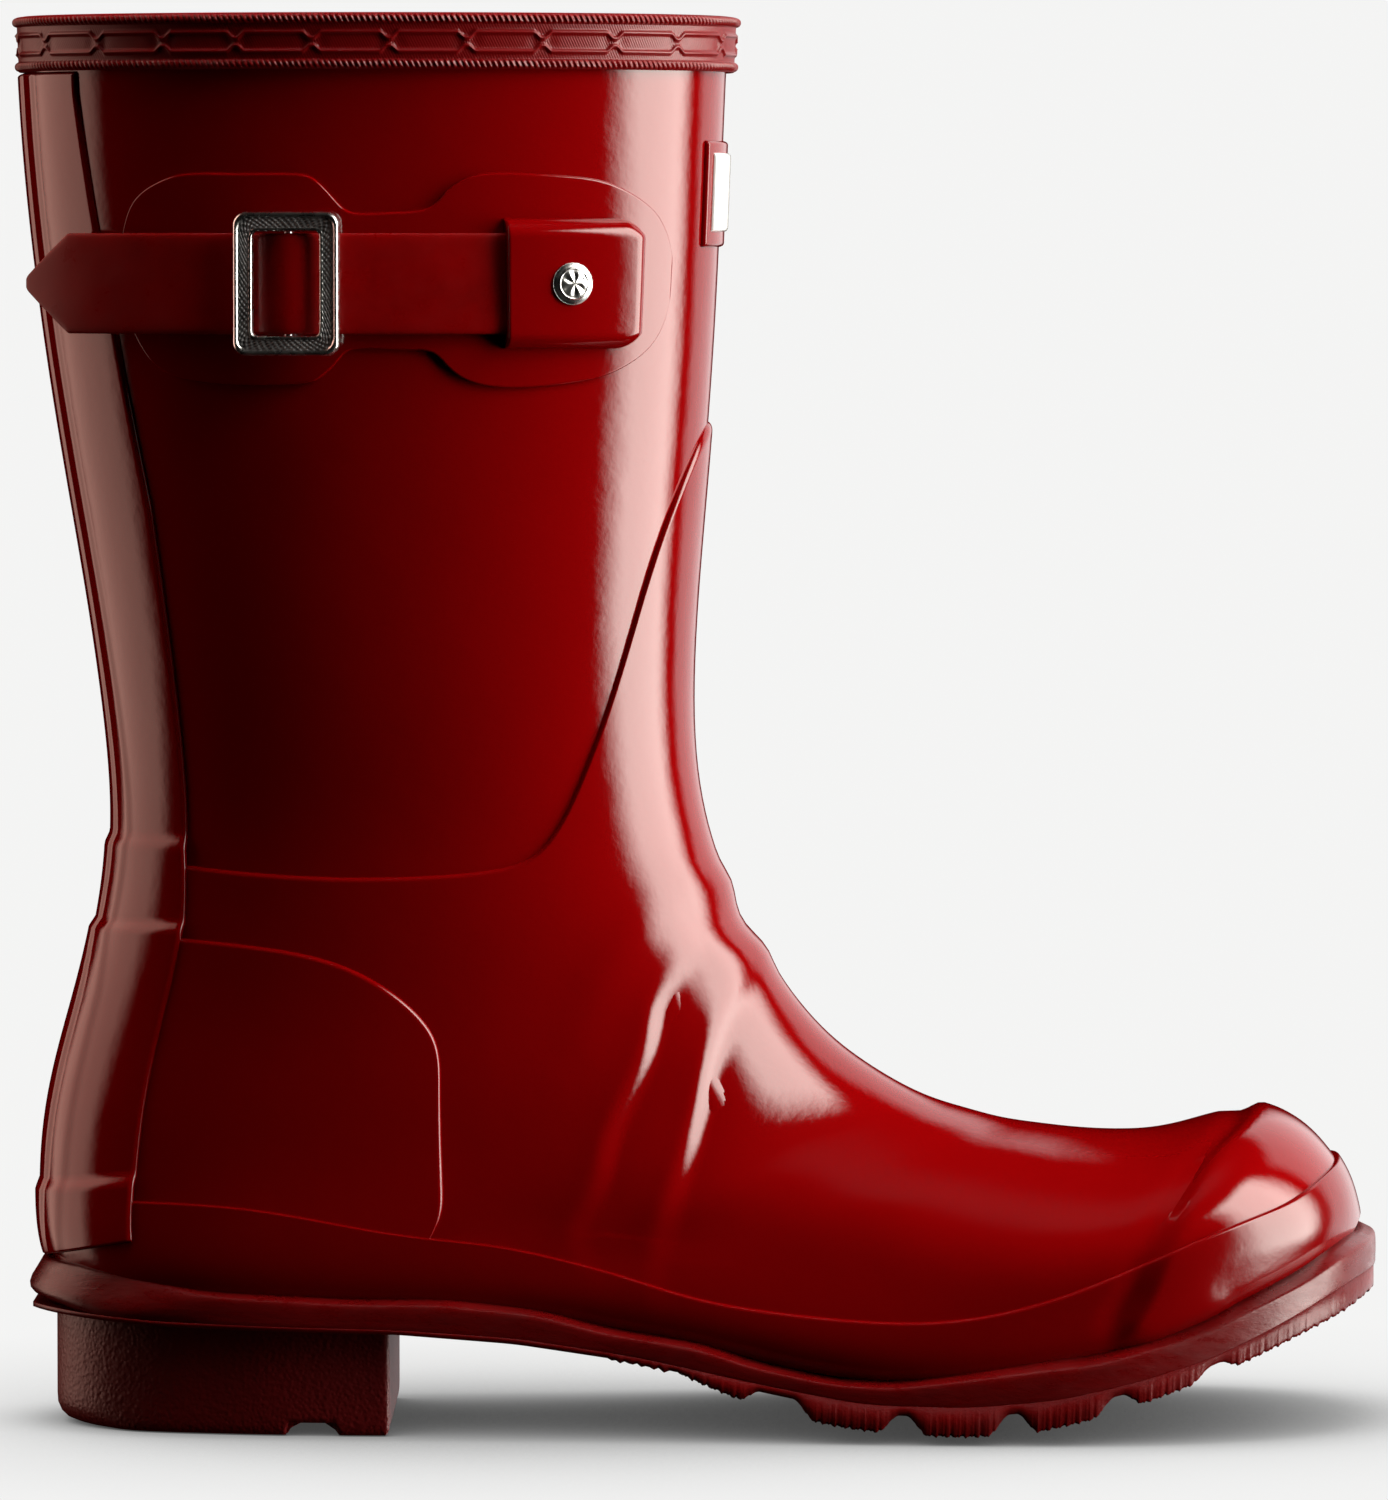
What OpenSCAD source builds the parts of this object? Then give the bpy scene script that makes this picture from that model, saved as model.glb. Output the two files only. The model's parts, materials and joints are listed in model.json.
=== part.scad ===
// Right-foot ankle-high rubber rain boot with a side strap and buckle.
// Millimetres. +Z up, +X towards the toe, the outer side of the foot faces -Y.
// The origin is on the ground in the middle of the boot's bounding box.

/* [Leg and foot] */
// Thickness of the pressed rubber outer shell
shell_wall = 1.8; // [1.2:0.1:1.9]
// Thickness of the textile lining
lining_wall = 1.0; // [0.6:0.1:1.4]
// Thickness of each cemented rubber overlay
overlay_wall = 1.0; // [0.6:0.1:1.1]
// Cement gap between neighbouring layers
cement_gap = 0.38; // [0.2:0.02:0.4]
// Points around the leg and foot
around = 36; // [24:4:48]

/* [Top binding] */
// Height of the moulded band around the top edge
binding_height = 11; // [9:0.5:18]
// How far the band stands out from the shell
binding_stand = 2.6; // [1.5:0.1:3.2]

/* [Strap] */
// Width of the strap
strap_width = 20; // [16:0.5:20]
// Thickness of the strap
strap_thick = 1.6; // [1.2:0.1:1.8]
// Height of the strap's centre above the ground
strap_height = 231; // [226:1:236]

/* [Buckle] */
// Length of the buckle frame along the strap
buckle_length = 21.2; // [20:0.2:23]
// Height of the buckle frame across the strap
buckle_height = 28.4; // [28:0.2:32]
// Width of the frame's bars
buckle_rail = 3.9; // [3:0.1:4]
// Thickness of the frame
buckle_thick = 2.2; // [1.6:0.1:2.6]
// Diameter of the hidden centre bar
bar_diameter = 1.6; // [1.2:0.1:1.6]

/* [Rivets] */
// Diameter of the domed rivet head on the strap pocket
rivet_head = 8.4; // [6:0.2:10]
// Diameter of a rivet's shank
rivet_shank = 3; // [2:0.2:4]

/* [Sole] */
// Height of the heel block
heel_height = 21.6; // [20:0.2:21.8]
// Thickness of the sidewall band
sidewall = 1.7; // [1.6:0.1:2.4]
// Thickness of the removable footbed
footbed_thick = 4; // [3:0.5:5]

/* [Hidden] */

boot_red = [0.45, 0.03, 0.04];
deep_red = [0.32, 0.02, 0.03];
sole_red = [0.38, 0.10, 0.10];
textile = [0.62, 0.56, 0.50];
steel = [0.70, 0.70, 0.72];
gunmetal = [0.28, 0.27, 0.27];
board = [0.72, 0.62, 0.46];
foam = [0.30, 0.30, 0.32];

// Side shift that brings the middle of the boot onto the origin
mid_y = -1.7;

// ---- The form of the boot -------------------------------------------------------------------
// The boot is a bent tube of rings that runs down the leg, turns at the heel and runs out to
// the toe. Each row is one ring: front point x z, back point x z, half width, side shift of the
// middle, where the widest place lies between front and back, and how square the front half and
// the back half are (2 is an ellipse, 5 is nearly a box).
RINGS = [
    [  7,   284,  -135.5, 284,  47,   0,   0.50, 2.15, 2.10],
    [  6,   262,  -134.5, 262,  46.5, 0,   0.50, 2.15, 2.10],
    [  5,   236,  -132,   236,  45.5, 0,   0.50, 2.15, 2.10],
    [  3.5, 210,  -128.5, 210,  44,   0,   0.50, 2.10, 2.10],
    [  1.5, 186,  -124.5, 186,  42.5, 0,   0.50, 2.10, 2.10],
    [ -0.5, 162,  -120.5, 162,  40.5, 0,   0.50, 2.10, 2.10],
    [ -1,   140,  -117.5, 139,  38,   0,   0.50, 2.10, 2.10],
    [  1,   124,  -116.5, 120,  36,   0,   0.50, 2.10, 2.10],
    [  5,   111,  -118.5, 103,  35.5, 0,   0.50, 2.10, 2.10],
    [ 10.5, 100,  -122,    88,  35,   0,   0.50, 2.10, 2.15],
    [ 17,    89,  -126,    74,  35,   0,   0.50, 2.05, 2.20],
    [ 25,    79,  -129,    59,  35.5, 0,   0.50, 2.05, 2.30],
    [ 33,    72.5, -129.5, 43,  35.5, 0,   0.50, 2.05, 2.50],
    [ 41,    67.5, -126,   29,  36,   0,   0.50, 2.05, 3.00],
    [ 48.5,  64,  -108,    25,  36,   0,   0.52, 2.05, 3.80],
    [ 55.5,  62,   -85,    24.5, 36.5, 0,  0.54, 2.05, 4.40],
    [ 62.5,  60,   -60,    24,  37,   0,   0.56, 2.05, 4.80],
    [ 69.5,  59,   -36,    22.5, 38.5, 0,  0.58, 2.05, 5.00],
    [ 77,    58,   -12,    19,  41,   0.5, 0.61, 2.05, 5.00],
    [ 84.5,  57.5,  12,    14,  44,   1,   0.63, 2.05, 5.00],
    [ 92,    57.5,  34,    10,  47,   1.5, 0.65, 2.05, 5.00],
    [ 99.5,  58.5,  54,     9.5, 48,  2.5, 0.65, 2.10, 4.80],
    [106.5,  60.5,  72,    11,  48,   3.5, 0.65, 2.15, 4.40],
    [113,    61.5,  88,    14.5, 47,  4.5, 0.64, 2.20, 4.00],
    [119,    60.5, 102,    18.5, 43.5, 5.5, 0.62, 2.20, 3.60],
    [125,    57.5, 113.5,  23,  38,   6.5, 0.60, 2.20, 3.20],
    [129.5,  53,   122,    27.5, 30.5, 7,  0.58, 2.20, 2.80],
    [132.5,  48,   127.5,  31,  21.5, 7,   0.55, 2.10, 2.40],
    [134,    42.5, 131.5,  34,  11,   7,   0.52, 2.00, 2.00],
    [134.5,  38,   134.5,  38,   0,   7,   0.50, 2.00, 2.00]];
last_ring = len(RINGS) - 1;
before_first = 2 * RINGS[0] - RINGS[1];
r_end = RINGS[last_ring - 1];
after_last = [r_end[2], r_end[3], r_end[0], r_end[1], -r_end[4], r_end[5], r_end[6], 2, 2];

function ring_row(i) = i < 0 ? before_first : i > last_ring ? after_last : RINGS[i];

// A smooth curve through four values, at t from the second to the third
function smooth(a, b, c, d, t) =
    0.5 * (2 * b + (c - a) * t + (2 * a - 5 * b + 4 * c - d) * t * t
           + (3 * b - a - 3 * c + d) * t * t * t);

// The ring at place v: 0 is the top edge, last_ring is the tip of the toe
function ring_at(v) =
    let (i = min(max(floor(v), 0), last_ring - 1))
    smooth(ring_row(i - 1), ring_row(i), ring_row(i + 1), ring_row(i + 2), v - i);

// A point of the shell's outer face. u is the angle around the ring: 0 at the front or top,
// 90 on the outer side of the foot, 180 at the back or bottom, 270 on the inner side.
function skin(u, v) =
    let (s = ring_at(v),
         c = cos(u),
         k0 = (1 - c) / 2,
         k = k0 * k0 * (3 - 2 * k0),
         n = s[7] + (s[8] - s[7]) * k,
         r = pow(pow(abs(c), n) + pow(abs(sin(u)), n), -1 / n),
         reach = (s[6] + (1 - 2 * s[6]) * k) * r * c - s[6])
    [s[0] - (s[2] - s[0]) * reach, mid_y + s[5] - s[4] * r * sin(u), s[1] - (s[3] - s[1]) * reach];

// The outward direction of the shell at a point
function outward(u, v) =
    let (w = min(max(v, 0.02), last_ring - 0.05),
         n = cross(skin(u + 0.5, w) - skin(u - 0.5, w), skin(u, w + 0.02) - skin(u, w - 0.02)))
    n / norm(n);

// A point at height d above the shell's outer face
function layer(u, v, d) = skin(u, v) + outward(u, v) * d;

// ---- Closed solids from two matching grids of points -------------------------------------------
function flat(rows) = [for (row = rows) for (p = row) p];

// Triangles of a plate whose outer and inner faces are rows of points. A wrapped plate closes
// on itself along its rows.
function plate_faces(nr, nc, wrap) =
    let (m = nr * nc,
         cl = wrap ? nc - 1 : nc - 2)
    concat(
        [for (r = [0:nr - 2]) for (c = [0:cl]) let (a = r * nc + c, b = r * nc + (c + 1) % nc)
            each [[a, b, b + nc], [a, b + nc, a + nc],
                  [m + a, m + b + nc, m + b], [m + a, m + a + nc, m + b + nc]]],
        [for (c = [0:cl]) let (a = c, b = (c + 1) % nc, e = (nr - 1) * nc)
            each [[a, m + a, m + b], [a, m + b, b],
                  [e + a, m + e + b, m + e + a], [e + a, e + b, m + e + b]]],
        wrap ? [] :
        [for (r = [0:nr - 2]) let (a = r * nc, b = a + nc, e = nc - 1)
            each [[a, b, m + b], [a, m + b, m + a],
                  [a + e, m + b + e, b + e], [a + e, m + a + e, m + b + e]]]);

module plate(outer, inner, wrap = false) {
    polyhedron(points = concat(flat(outer), flat(inner)),
               faces = plate_faces(len(outer), len(outer[0]), wrap));
}

// A sock: a wrapped plate that is closed over at its last ring
module sock(rows, outer_d, inner_d) {
    n = around;
    nr = len(rows);
    ring_u = [for (c = [0:n - 1]) 360 * c / n];
    outer = [for (v = rows) [for (u = ring_u) layer(u, v, outer_d)]];
    inner = [for (v = rows) [for (u = ring_u) layer(u, v, inner_d)]];
    tip_out = skin(0, last_ring) + [outer_d, 0, 0];
    tip_in = skin(0, last_ring) + [inner_d, 0, 0];
    m = nr * n;
    e = m - n;
    walls = [for (f = plate_faces(nr, n, true)) if (!is_end_face(f, e, m)) f];
    caps = [for (c = [0:n - 1]) let (b = (c + 1) % n)
            each [[e + c, e + b, 2 * m], [m + e + b, m + e + c, 2 * m + 1]]];
    polyhedron(points = concat(flat(outer), flat(inner), [tip_out, tip_in]),
               faces = concat(walls, caps));
}
// True for the triangles that join the two faces across the last row
function is_end_face(f, e, m) =
    len([for (i = f) if ((i >= e && i < m) || i >= m + e) i]) == 3
    && min(f) < m && max(f) >= m;

// A value read off a list of [place, value] pairs, smoothly
function read_list(list, x, i = 0) =
    x <= list[0][0] ? list[0][1] :
    i >= len(list) - 1 ? list[len(list) - 1][1] :
    x > list[i + 1][0] ? read_list(list, x, i + 1) :
    let (t = (x - list[i][0]) / (list[i + 1][0] - list[i][0]))
    list[i][1] + (list[i + 1][1] - list[i][1]) * t;

// A point on a route, t from 0 to 1 over all its points
function along(route, t) =
    let (n = len(route) - 1,
         i = min(floor(t * n), n - 1),
         f = t * n - i)
    smooth(route[max(i - 1, 0)], route[i], route[i + 1], route[min(i + 2, n)], f);

// A patch of rubber that lies on the shell between two routes of [u, v], from the outer side's
// front end around to the same place on the inner side when mirrored is true
function patch_rows(upper, lower, nr, nc, d, mirrored) =
    [for (r = [0:nr]) [for (c = [0:nc])
        let (t = mirrored ? abs(2 * c / nc - 1) : c / nc,
             side = mirrored && c * 2 > nc ? -1 : 1,
             p = along(upper, t) * (1 - r / nr) + along(lower, t) * r / nr,
             u = side > 0 ? p[0] : 360 - p[0])
        layer(u, p[1], is_list(d) ? read_list(d, u > 180 ? 360 - u : u) : d)]];

// ---- Layer heights above the shell -------------------------------------------------------------
first_in = cement_gap;
first_out = first_in + overlay_wall;
second_in = first_out + cement_gap;
second_out = second_in + overlay_wall;
stiffener_out = -shell_wall - 0.2;
stiffener_in = stiffener_out - 0.8;
lining_out = stiffener_in - 0.2;
lining_in = lining_out - lining_wall;

sock_rows = [for (v = [0:1:last_ring - 1]) v];

module leg_shell() {
    color(boot_red) sock(sock_rows, 0, -shell_wall);
}

module lining() {
    color(textile) sock(sock_rows, lining_out, lining_in);
}

// ---- Overlays that follow the shell's own facets -------------------------------------------------
// Line c of the shell's facets runs down the boot. Between two rings a point slides straight.
function line_u(c) = 360 * c / around;
function side_u(c) = let (u = line_u(c)) u > 180 ? 360 - u : u;
function on_facet(c, v, d) =
    let (k = floor(v), f = v - k, h = is_list(d) ? read_list(d, v) : d)
    f < 0.001 ? layer(line_u(c), k, h)
              : layer(line_u(c), k, h) * (1 - f) + layer(line_u(c), k + 1, h) * f;

// Places down one line, from the overlay's upper edge to its lower edge
function stations(top, foot) =
    concat([top], [for (j = [floor(top) + 1:ceil(foot) - 1])
                   if (j > top + 0.15 && j < foot - 0.15) j], [foot]);
function first_at(s, v, k = 0) = k >= len(s) - 1 || s[k] >= v ? k : first_at(s, v, k + 1);
function last_at(s, v, k) = k <= 0 || s[k] <= v ? k : last_at(s, v, k - 1);
// Two neighbouring lines are joined only as far as both of them reach, give or take this much
reach_on = 1.6;
function joined(s, t) =
    let (high = max(s[0], t[0]) - reach_on,
         low = min(s[len(s) - 1], t[len(t) - 1]) + reach_on)
    [first_at(s, high), last_at(s, low, len(s) - 1), first_at(t, high), last_at(t, low, len(t) - 1)];
function zip(s, t, i, j, a, b, a1, b1) =
    a >= a1 && b >= b1 ? [] :
    b < b1 && (a >= a1 || t[b + 1] <= s[a + 1] + 0.001)
        ? concat([[i + a, j + b, j + b + 1]], zip(s, t, i, j, a, b + 1, a1, b1))
        : concat([[i + a, j + b, i + a + 1]], zip(s, t, i, j, a + 1, b, a1, b1));
// Side walls along one line where only the strip after it (front) or before it is there
function line_wall(i, k0, k1, m, front) = k1 <= k0 ? [] : [for (k = [k0:k1 - 1])
    let (a = i + k, b = i + k + 1)
    each front ? [[a, b, m + b], [a, m + b, m + a]] : [[a, m + b, b], [a, m + a, m + b]]];

// An overlay between lines c0 and c1. Its upper and lower edges are lists of [u, v].
module overlay(upper, lower, c0, c1, d_out, d_in) {
    whole = c1 - c0 == around;
    n = whole ? around : c1 - c0 + 1;
    lines = [for (i = [0:n - 1]) let (u = side_u(c0 + i))
        stations(read_list(upper, u), read_list(lower, u))];
    start = [for (i = 0, k = 0; i <= n; k = k + (i < n ? len(lines[i]) : 0), i = i + 1) k];
    m = start[n];
    strips = whole ? n : n - 1;
    spans = [for (i = [0:strips - 1]) joined(lines[i], lines[(i + 1) % n])];
    skin_faces = [for (i = [0:strips - 1])
        let (j = (i + 1) % n, q = spans[i])
        each zip(lines[i], lines[j], start[i], start[j], q[0], q[2], q[1], q[3])];
    edge_faces = [for (i = [0:strips - 1])
        let (j = (i + 1) % n, q = spans[i],
             a = start[i] + q[0], b = start[j] + q[2], e = start[i] + q[1], g = start[j] + q[3])
        each [[a, m + a, m + b], [a, m + b, b], [e, m + g, m + e], [e, g, m + g]]];
    line_faces = [for (i = [0:n - 1])
        let (none = [len(lines[i]), 0],
             after = whole || i < n - 1 ? [spans[i][0], spans[i][1]] : undef,
             h = (i + n - 1) % n,
             before = whole || i > 0 ? [spans[h][2], spans[h][3]] : undef)
        each after == undef ? line_wall(start[i], before[0], before[1], m, false)
           : before == undef ? line_wall(start[i], after[0], after[1], m, true)
           : concat(line_wall(start[i], after[0], before[0], m, true),
                    line_wall(start[i], before[0], after[0], m, false),
                    line_wall(start[i], before[1], after[1], m, true),
                    line_wall(start[i], after[1], before[1], m, false))];
    polyhedron(
        points = concat([for (i = [0:n - 1]) for (v = lines[i]) on_facet(c0 + i, v, d_out)],
                        [for (i = [0:n - 1]) for (v = lines[i]) on_facet(c0 + i, v, d_in)]),
        faces = concat(skin_faces, [for (f = skin_faces) [m + f[0], m + f[2], m + f[1]]],
                       edge_faces, line_faces));
}

// The vamp overlay wraps the foot from the ankle down
VAMP_TOP = [[0, 3.3], [16, 3.5], [30, 4.2], [40, 5.2], [51, 6.3], [62, 7.25], [75, 7.6],
            [100, 7.6], [126, 7.45], [150, 7.3], [180, 7.2]];
VAMP_FOOT = [[0, 28], [90, 27.4], [100, 26.8], [110, 25.4], [120, 22], [130, 20.2], [140, 13.2],
             [180, 12.7]];

// Extra room on the hidden side, where the shell turns sharply at the heel and the toe
vamp_relief = 0.3;
module vamp_overlay() {
    color(boot_red) overlay(VAMP_TOP, VAMP_FOOT, 0, around, first_out, first_in + vamp_relief);
}

// The counter cups the heel on top of the vamp
COUNTER_TOP = [[90, 10.3], [100, 8.95], [120, 8.45], [150, 8.25], [180, 8.25]];
COUNTER_FOOT = [[90, 11.4], [100, 13.4], [110, 14.4], [120, 15.2], [130, 15.4], [140, 13.3],
                [150, 12.9], [160, 12.7], [180, 12.6]];

module heel_counter() {
    color(boot_red) overlay(COUNTER_TOP, COUNTER_FOOT, around / 4, around * 3 / 4,
                            second_out, second_in);
}

// The back strip runs from the binding to the sole over the vamp and the counter. Its height
// above the shell steps up where it climbs over them.
STRIP_RISE = [[0.5, 0], [6.7, 0], [7.1, 1.3], [7.8, 1.3], [8.2, 2.6], [11, 2.6], [11.6, 3.9],
              [12.7, 3.9]];
strip_v = [0.5, 1, 2, 3, 4, 5, 6, 6.7, 7.1, 7.8, 8.2, 9, 10, 11, 11.6, 12, 12.5];
strip_lines = 4;
function strip_rows(d) = [for (v = strip_v) [for (c = [-strip_lines:strip_lines])
    on_facet(around / 2 + c, v, d + read_list(STRIP_RISE, v))]];

module back_strip() {
    color(boot_red) plate(strip_rows(first_out), strip_rows(first_in));
}

// The foxing band wraps the foot just above the sole, over the counter at the heel
FOXING_TOP = [[0, 26.1], [30, 25.9], [56, 25], [66, 23.9], [73, 22.3], [84, 21], [100, 19.6],
              [110, 13.1], [120, 12.3], [150, 11.85], [180, 11.75]];
FOXING_FOOT = [[0, 28], [60, 28], [90, 27.4], [100, 26.8], [110, 25.4], [120, 22], [130, 20],
               [140, 13.2], [160, 12.7], [180, 12.65]];
foxing_rise = second_out - first_out;
function foxing_d(d) = [[15.6, d + foxing_rise], [17, d]];

// The band is a little thinner than the other layers, to clear the sidewall
foxing_relief = 0.25;
module foxing_band() {
    color(deep_red) overlay(FOXING_TOP, FOXING_FOOT, 0, around,
                            foxing_d(second_out - foxing_relief), foxing_d(second_in));
}

// The binding covers the top edge inside and out
module top_binding() {
    top = RINGS[0][1] + 1.6;
    low = top - binding_height;
    section = [[first_in, low], [binding_stand, low], [binding_stand, top],
               [lining_in - 0.8, top], [lining_in - 0.8, top - 1.2], [first_in, top - 1.2]];
    n = around;
    k = len(section);
    points = [for (c = [0:n - 1]) for (p = section)
        let (q = layer(360 * c / n, min(max(284 - p[1], 0), 22) / 22, p[0])) [q[0], q[1], p[1]]];
    faces = [for (c = [0:n - 1]) for (j = [0:k - 1])
        let (a = c * k + j, b = c * k + (j + 1) % k, d = (c + 1) % n * k)
        each [[a, b, d + (j + 1) % k], [a, d + (j + 1) % k, d + j]]];
    color(boot_red) polyhedron(points = points, faces = faces);
}

// Stiff pieces hidden between the shell and the lining
module toe_puff() {
    color(board) plate(puff_rows(stiffener_out), puff_rows(stiffener_in));
}
function puff_rows(d) = [for (r = [0:6]) [for (c = [-8:8]) layer(c * 11.25, 22 + r, d)]];

module heel_stiffener() {
    color(board) plate(stiffener_rows(stiffener_out), stiffener_rows(stiffener_in));
}
function stiffener_rows(d) = [for (r = [0:5]) [for (c = [-7:7]) layer(180 + c * 10, 8 + r, d)]];

// ---- The sole -------------------------------------------------------------------------------------
// Plan of the sole's outer edge. Each row: x, then y on the outer side and y on the inner side.
SOLE_PLAN = [
    [-135,   -5,    5],   [-134,  -11,   11],   [-131.5, -16.5, 16.5], [-127,  -22.5, 22.5],
    [-120,  -28,   28],   [-110,  -32.5, 32.5], [-98,  -35.5, 35.5],   [-84,  -38,   38],
    [-68,   -39.2, 39.2], [-50,   -40,   40],   [-32,  -40.8, 41],     [-14,  -42.2, 43],
    [4,     -44.2, 45.8], [22,    -46.4, 48.6], [40,   -48.4, 51.4],   [56,   -49.6, 53.6],
    [72,    -50,   55.2], [86,    -49,   55.9], [98,   -46.4, 55.5],   [108,  -42.8, 53.6],
    [117,   -38,   50.4], [124,   -32.4, 46],   [130,  -25.2, 40],     [134.5, -17,  33],
    [137.4, -8.5,  24.5], [139,    2,   13]];
plan_rows = len(SOLE_PLAN);
toe_side = 7;
lateral_edge = [for (r = SOLE_PLAN) [r[0], mid_y + r[1]]];
medial_edge = [for (r = SOLE_PLAN) [r[0], mid_y + r[2]]];

// Direction out of an edge, from its neighbours; turn is 1 on the outer side and -1 inside
function edge_out(edge, i, turn) =
    let (a = i > 0 ? edge[i - 1] : [edge[0][0] + 1, mid_y],
         b = i < plan_rows - 1 ? edge[i + 1] : [edge[i][0] - 1, mid_y + toe_side],
         d = (b - a) / norm(b - a))
    turn * [d[1], -d[0]];
function inset_edge(edge, turn, d) =
    [for (i = [0:plan_rows - 1]) edge[i] - edge_out(edge, i, turn) * d];

// Heights along the boot, as [x, z] pairs
SEAT = [[-135, 25.2], [-108, 23.4], [-85, 22.9], [-60, 22.4], [-36, 20.9], [-12, 17.4], [12, 12.4],
        [34, 8.4], [54, 7.9], [72, 9.4], [88, 12.9], [102, 16.9], [113, 21.4], [122, 25.6],
        [128, 28.6], [134, 31], [139, 32.5]];
ROOT = [[-135, 23.8], [-108, 22], [-60, 21], [-36, 19.2], [-12, 15.8], [12, 10.4], [34, 6],
        [54, 5.4], [72, 7], [88, 10.6], [102, 14.8], [113, 19.2], [122, 23.4], [128, 26.4],
        [134, 29], [139, 31]];
TREAD = [[-8, 14.6], [0, 10.6], [10, 6.6], [20, 3.6], [30, 1.6], [42, 0.3], [54, 0], [66, 0.6],
         [78, 3.2], [92, 7.5], [102, 11], [112, 15], [122, 19.2], [132, 23], [139, 26.5]];
WALL_TOP = [[-135, 33.4], [-128, 33.4], [-114, 31.4], [-98, 28.4], [-69, 27], [-50, 27], [-31, 25],
            [-18, 21.6], [1, 18.6], [12, 15], [28, 11.8], [40, 11.3], [53, 12.8], [71, 15.2],
            [80, 16], [93, 19.4], [102, 22], [111, 26], [125, 31.8], [132, 36], [139, 38]];
LIP = [[-135, 28.4], [-128, 27.2], [-120, 25.4], [-112, 24.4], [-104, 26], [-96, 27.6], [-60, 27]];

// Strips across the forefoot where the tread has lugs: [start x, end x]
LUGS = [[-4, 13], [19.5, 40], [43, 62], [65, 83], [86, 102.5], [105.5, 138]];

function sole_rows(d, z_list, x_low, x_high, columns) =
    let (lat = inset_edge(lateral_edge, 1, d), med = inset_edge(medial_edge, -1, d))
    [for (i = [0:plan_rows - 1]) if (lat[i][0] >= x_low && lat[i][0] <= x_high)
        [for (c = [0:columns])
            let (p = lat[i] * (1 - c / columns) + med[i] * c / columns)
            [p[0], p[1], read_list(z_list, p[0])]]];
function lifted(list, dz) = [for (p = list) [p[0], p[1] + dz]];

module sole_plate(d, low_list, high_list, x_low, x_high, columns = 4) {
    plate(sole_rows(d, low_list, x_low, x_high, columns),
          sole_rows(d, high_list, x_low, x_high, columns));
}

// y of an edge of the sole at a place along it
function edge_y(edge, x, i = 0) =
    i < plan_rows - 2 && x > edge[i + 1][0] ? edge_y(edge, x, i + 1) :
    let (t = (x - edge[i][0]) / (edge[i + 1][0] - edge[i][0]))
    edge[i][1] + (edge[i + 1][1] - edge[i][1]) * t;

// The outsole is one moulding: a thin plate under the heel and waist, with lugs that stand down
// from it under the forefoot. Each lug's end faces slope, and its underside is slightly domed.
lug_slope = 3.4;
tread_dome = 1.6;
function lug_rows(l) = [[l[0], 0], for (i = [0:3])
    [l[0] + lug_slope + (l[1] - l[0] - 2 * lug_slope) * i / 3, 1], [l[1], 0]];
outsole_rows = concat([for (r = SOLE_PLAN) if (r[0] < LUGS[0][0] - 2) [r[0], 0]],
                      [for (l = LUGS) each lug_rows(l)], [[138.6, 0]]);
function outsole_point(x, f, z) =
    [x, (edge_y(lateral_edge, x) + 0.3) * (1 - f) + (edge_y(medial_edge, x) - 0.3) * f, z];
module outsole() {
    across = [0:4];
    low = [for (q = outsole_rows) [for (c = across) let (f = c / 4)
        outsole_point(q[0], f, q[1] == 0 ? read_list(ROOT, q[0])
            : read_list(TREAD, q[0]) + tread_dome * pow(2 * f - 1, 2))]];
    high = [for (q = outsole_rows) [for (c = across)
        outsole_point(q[0], c / 4, read_list(SEAT, q[0]))]];
    color(sole_red) plate(low, high);
}

// The band around the sole's edge, with the kick-off lip at the back of the heel
module sidewall_band() {
    out_edge = concat(lateral_edge, [for (i = [plan_rows - 1:-1:0]) medial_edge[i]]);
    in_edge = concat(inset_edge(lateral_edge, 1, sidewall),
                     [for (i = [plan_rows - 1:-1:0]) inset_edge(medial_edge, -1, sidewall)[i]]);
    n = len(out_edge);
    outer = [for (i = [0:n - 1]) let (p = out_edge[i]) [p[0], p[1], read_list(SEAT, p[0]) + 0.2]];
    ridge = [for (i = [0:n - 1]) let (p = out_edge[i], top = read_list(WALL_TOP, p[0]))
        [p[0], p[1], p[0] < -96 ? read_list(LIP, p[0]) : top]];
    crest = [for (i = [0:n - 1]) let (p = in_edge[i])
        [p[0], p[1], read_list(WALL_TOP, p[0]) + 0.2]];
    foot = [for (i = [0:n - 1]) let (p = in_edge[i]) [p[0], p[1], read_list(SEAT, p[0]) + 0.2]];
    points = concat(outer, ridge, crest, foot);
    faces = [for (k = [0:3]) for (i = [0:n - 1])
        let (a = k * n + i, b = k * n + (i + 1) % n, c = (k + 1) % 4 * n + i,
             e = (k + 1) % 4 * n + (i + 1) % n)
        each [[a, c, e], [a, e, b]]];
    color(deep_red) polyhedron(points = points, faces = faces);
}

// The heel block is the plan of the heel cut by its side profile
module heel_block() {
    heel_inset = 5.5;
    front = -61;
    lat = inset_edge(lateral_edge, 1, heel_inset);
    med = inset_edge(medial_edge, -1, heel_inset);
    heel_plan = concat([for (p = lat) if (p[0] < front + 20) p],
                       [for (i = [plan_rows - 1:-1:0]) if (med[i][0] < front + 20) med[i]]);
    back = -129.5;
    corner = 5;
    arc = [for (a = [180:15:270]) [back + corner + corner * cos(a), corner + corner * sin(a)]];
    heel_gap = 21.9 - heel_height;
    profile = concat([[back - 0.5, corner + 6]], arc,
                     [[-82, 0], [-80, 2.6], [-73, 2.6], [-71, 0], [front + 1, 0]],
                     [for (x = [front:-7.5:back - 1]) [x, read_list(ROOT, x) - heel_gap]]);
    color(sole_red) intersection() {
        linear_extrude(height = 30) polygon(heel_plan);
        translate([0, 60, 0]) rotate([90, 0, 0]) linear_extrude(height = 120) polygon(profile);
    }
}

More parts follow.
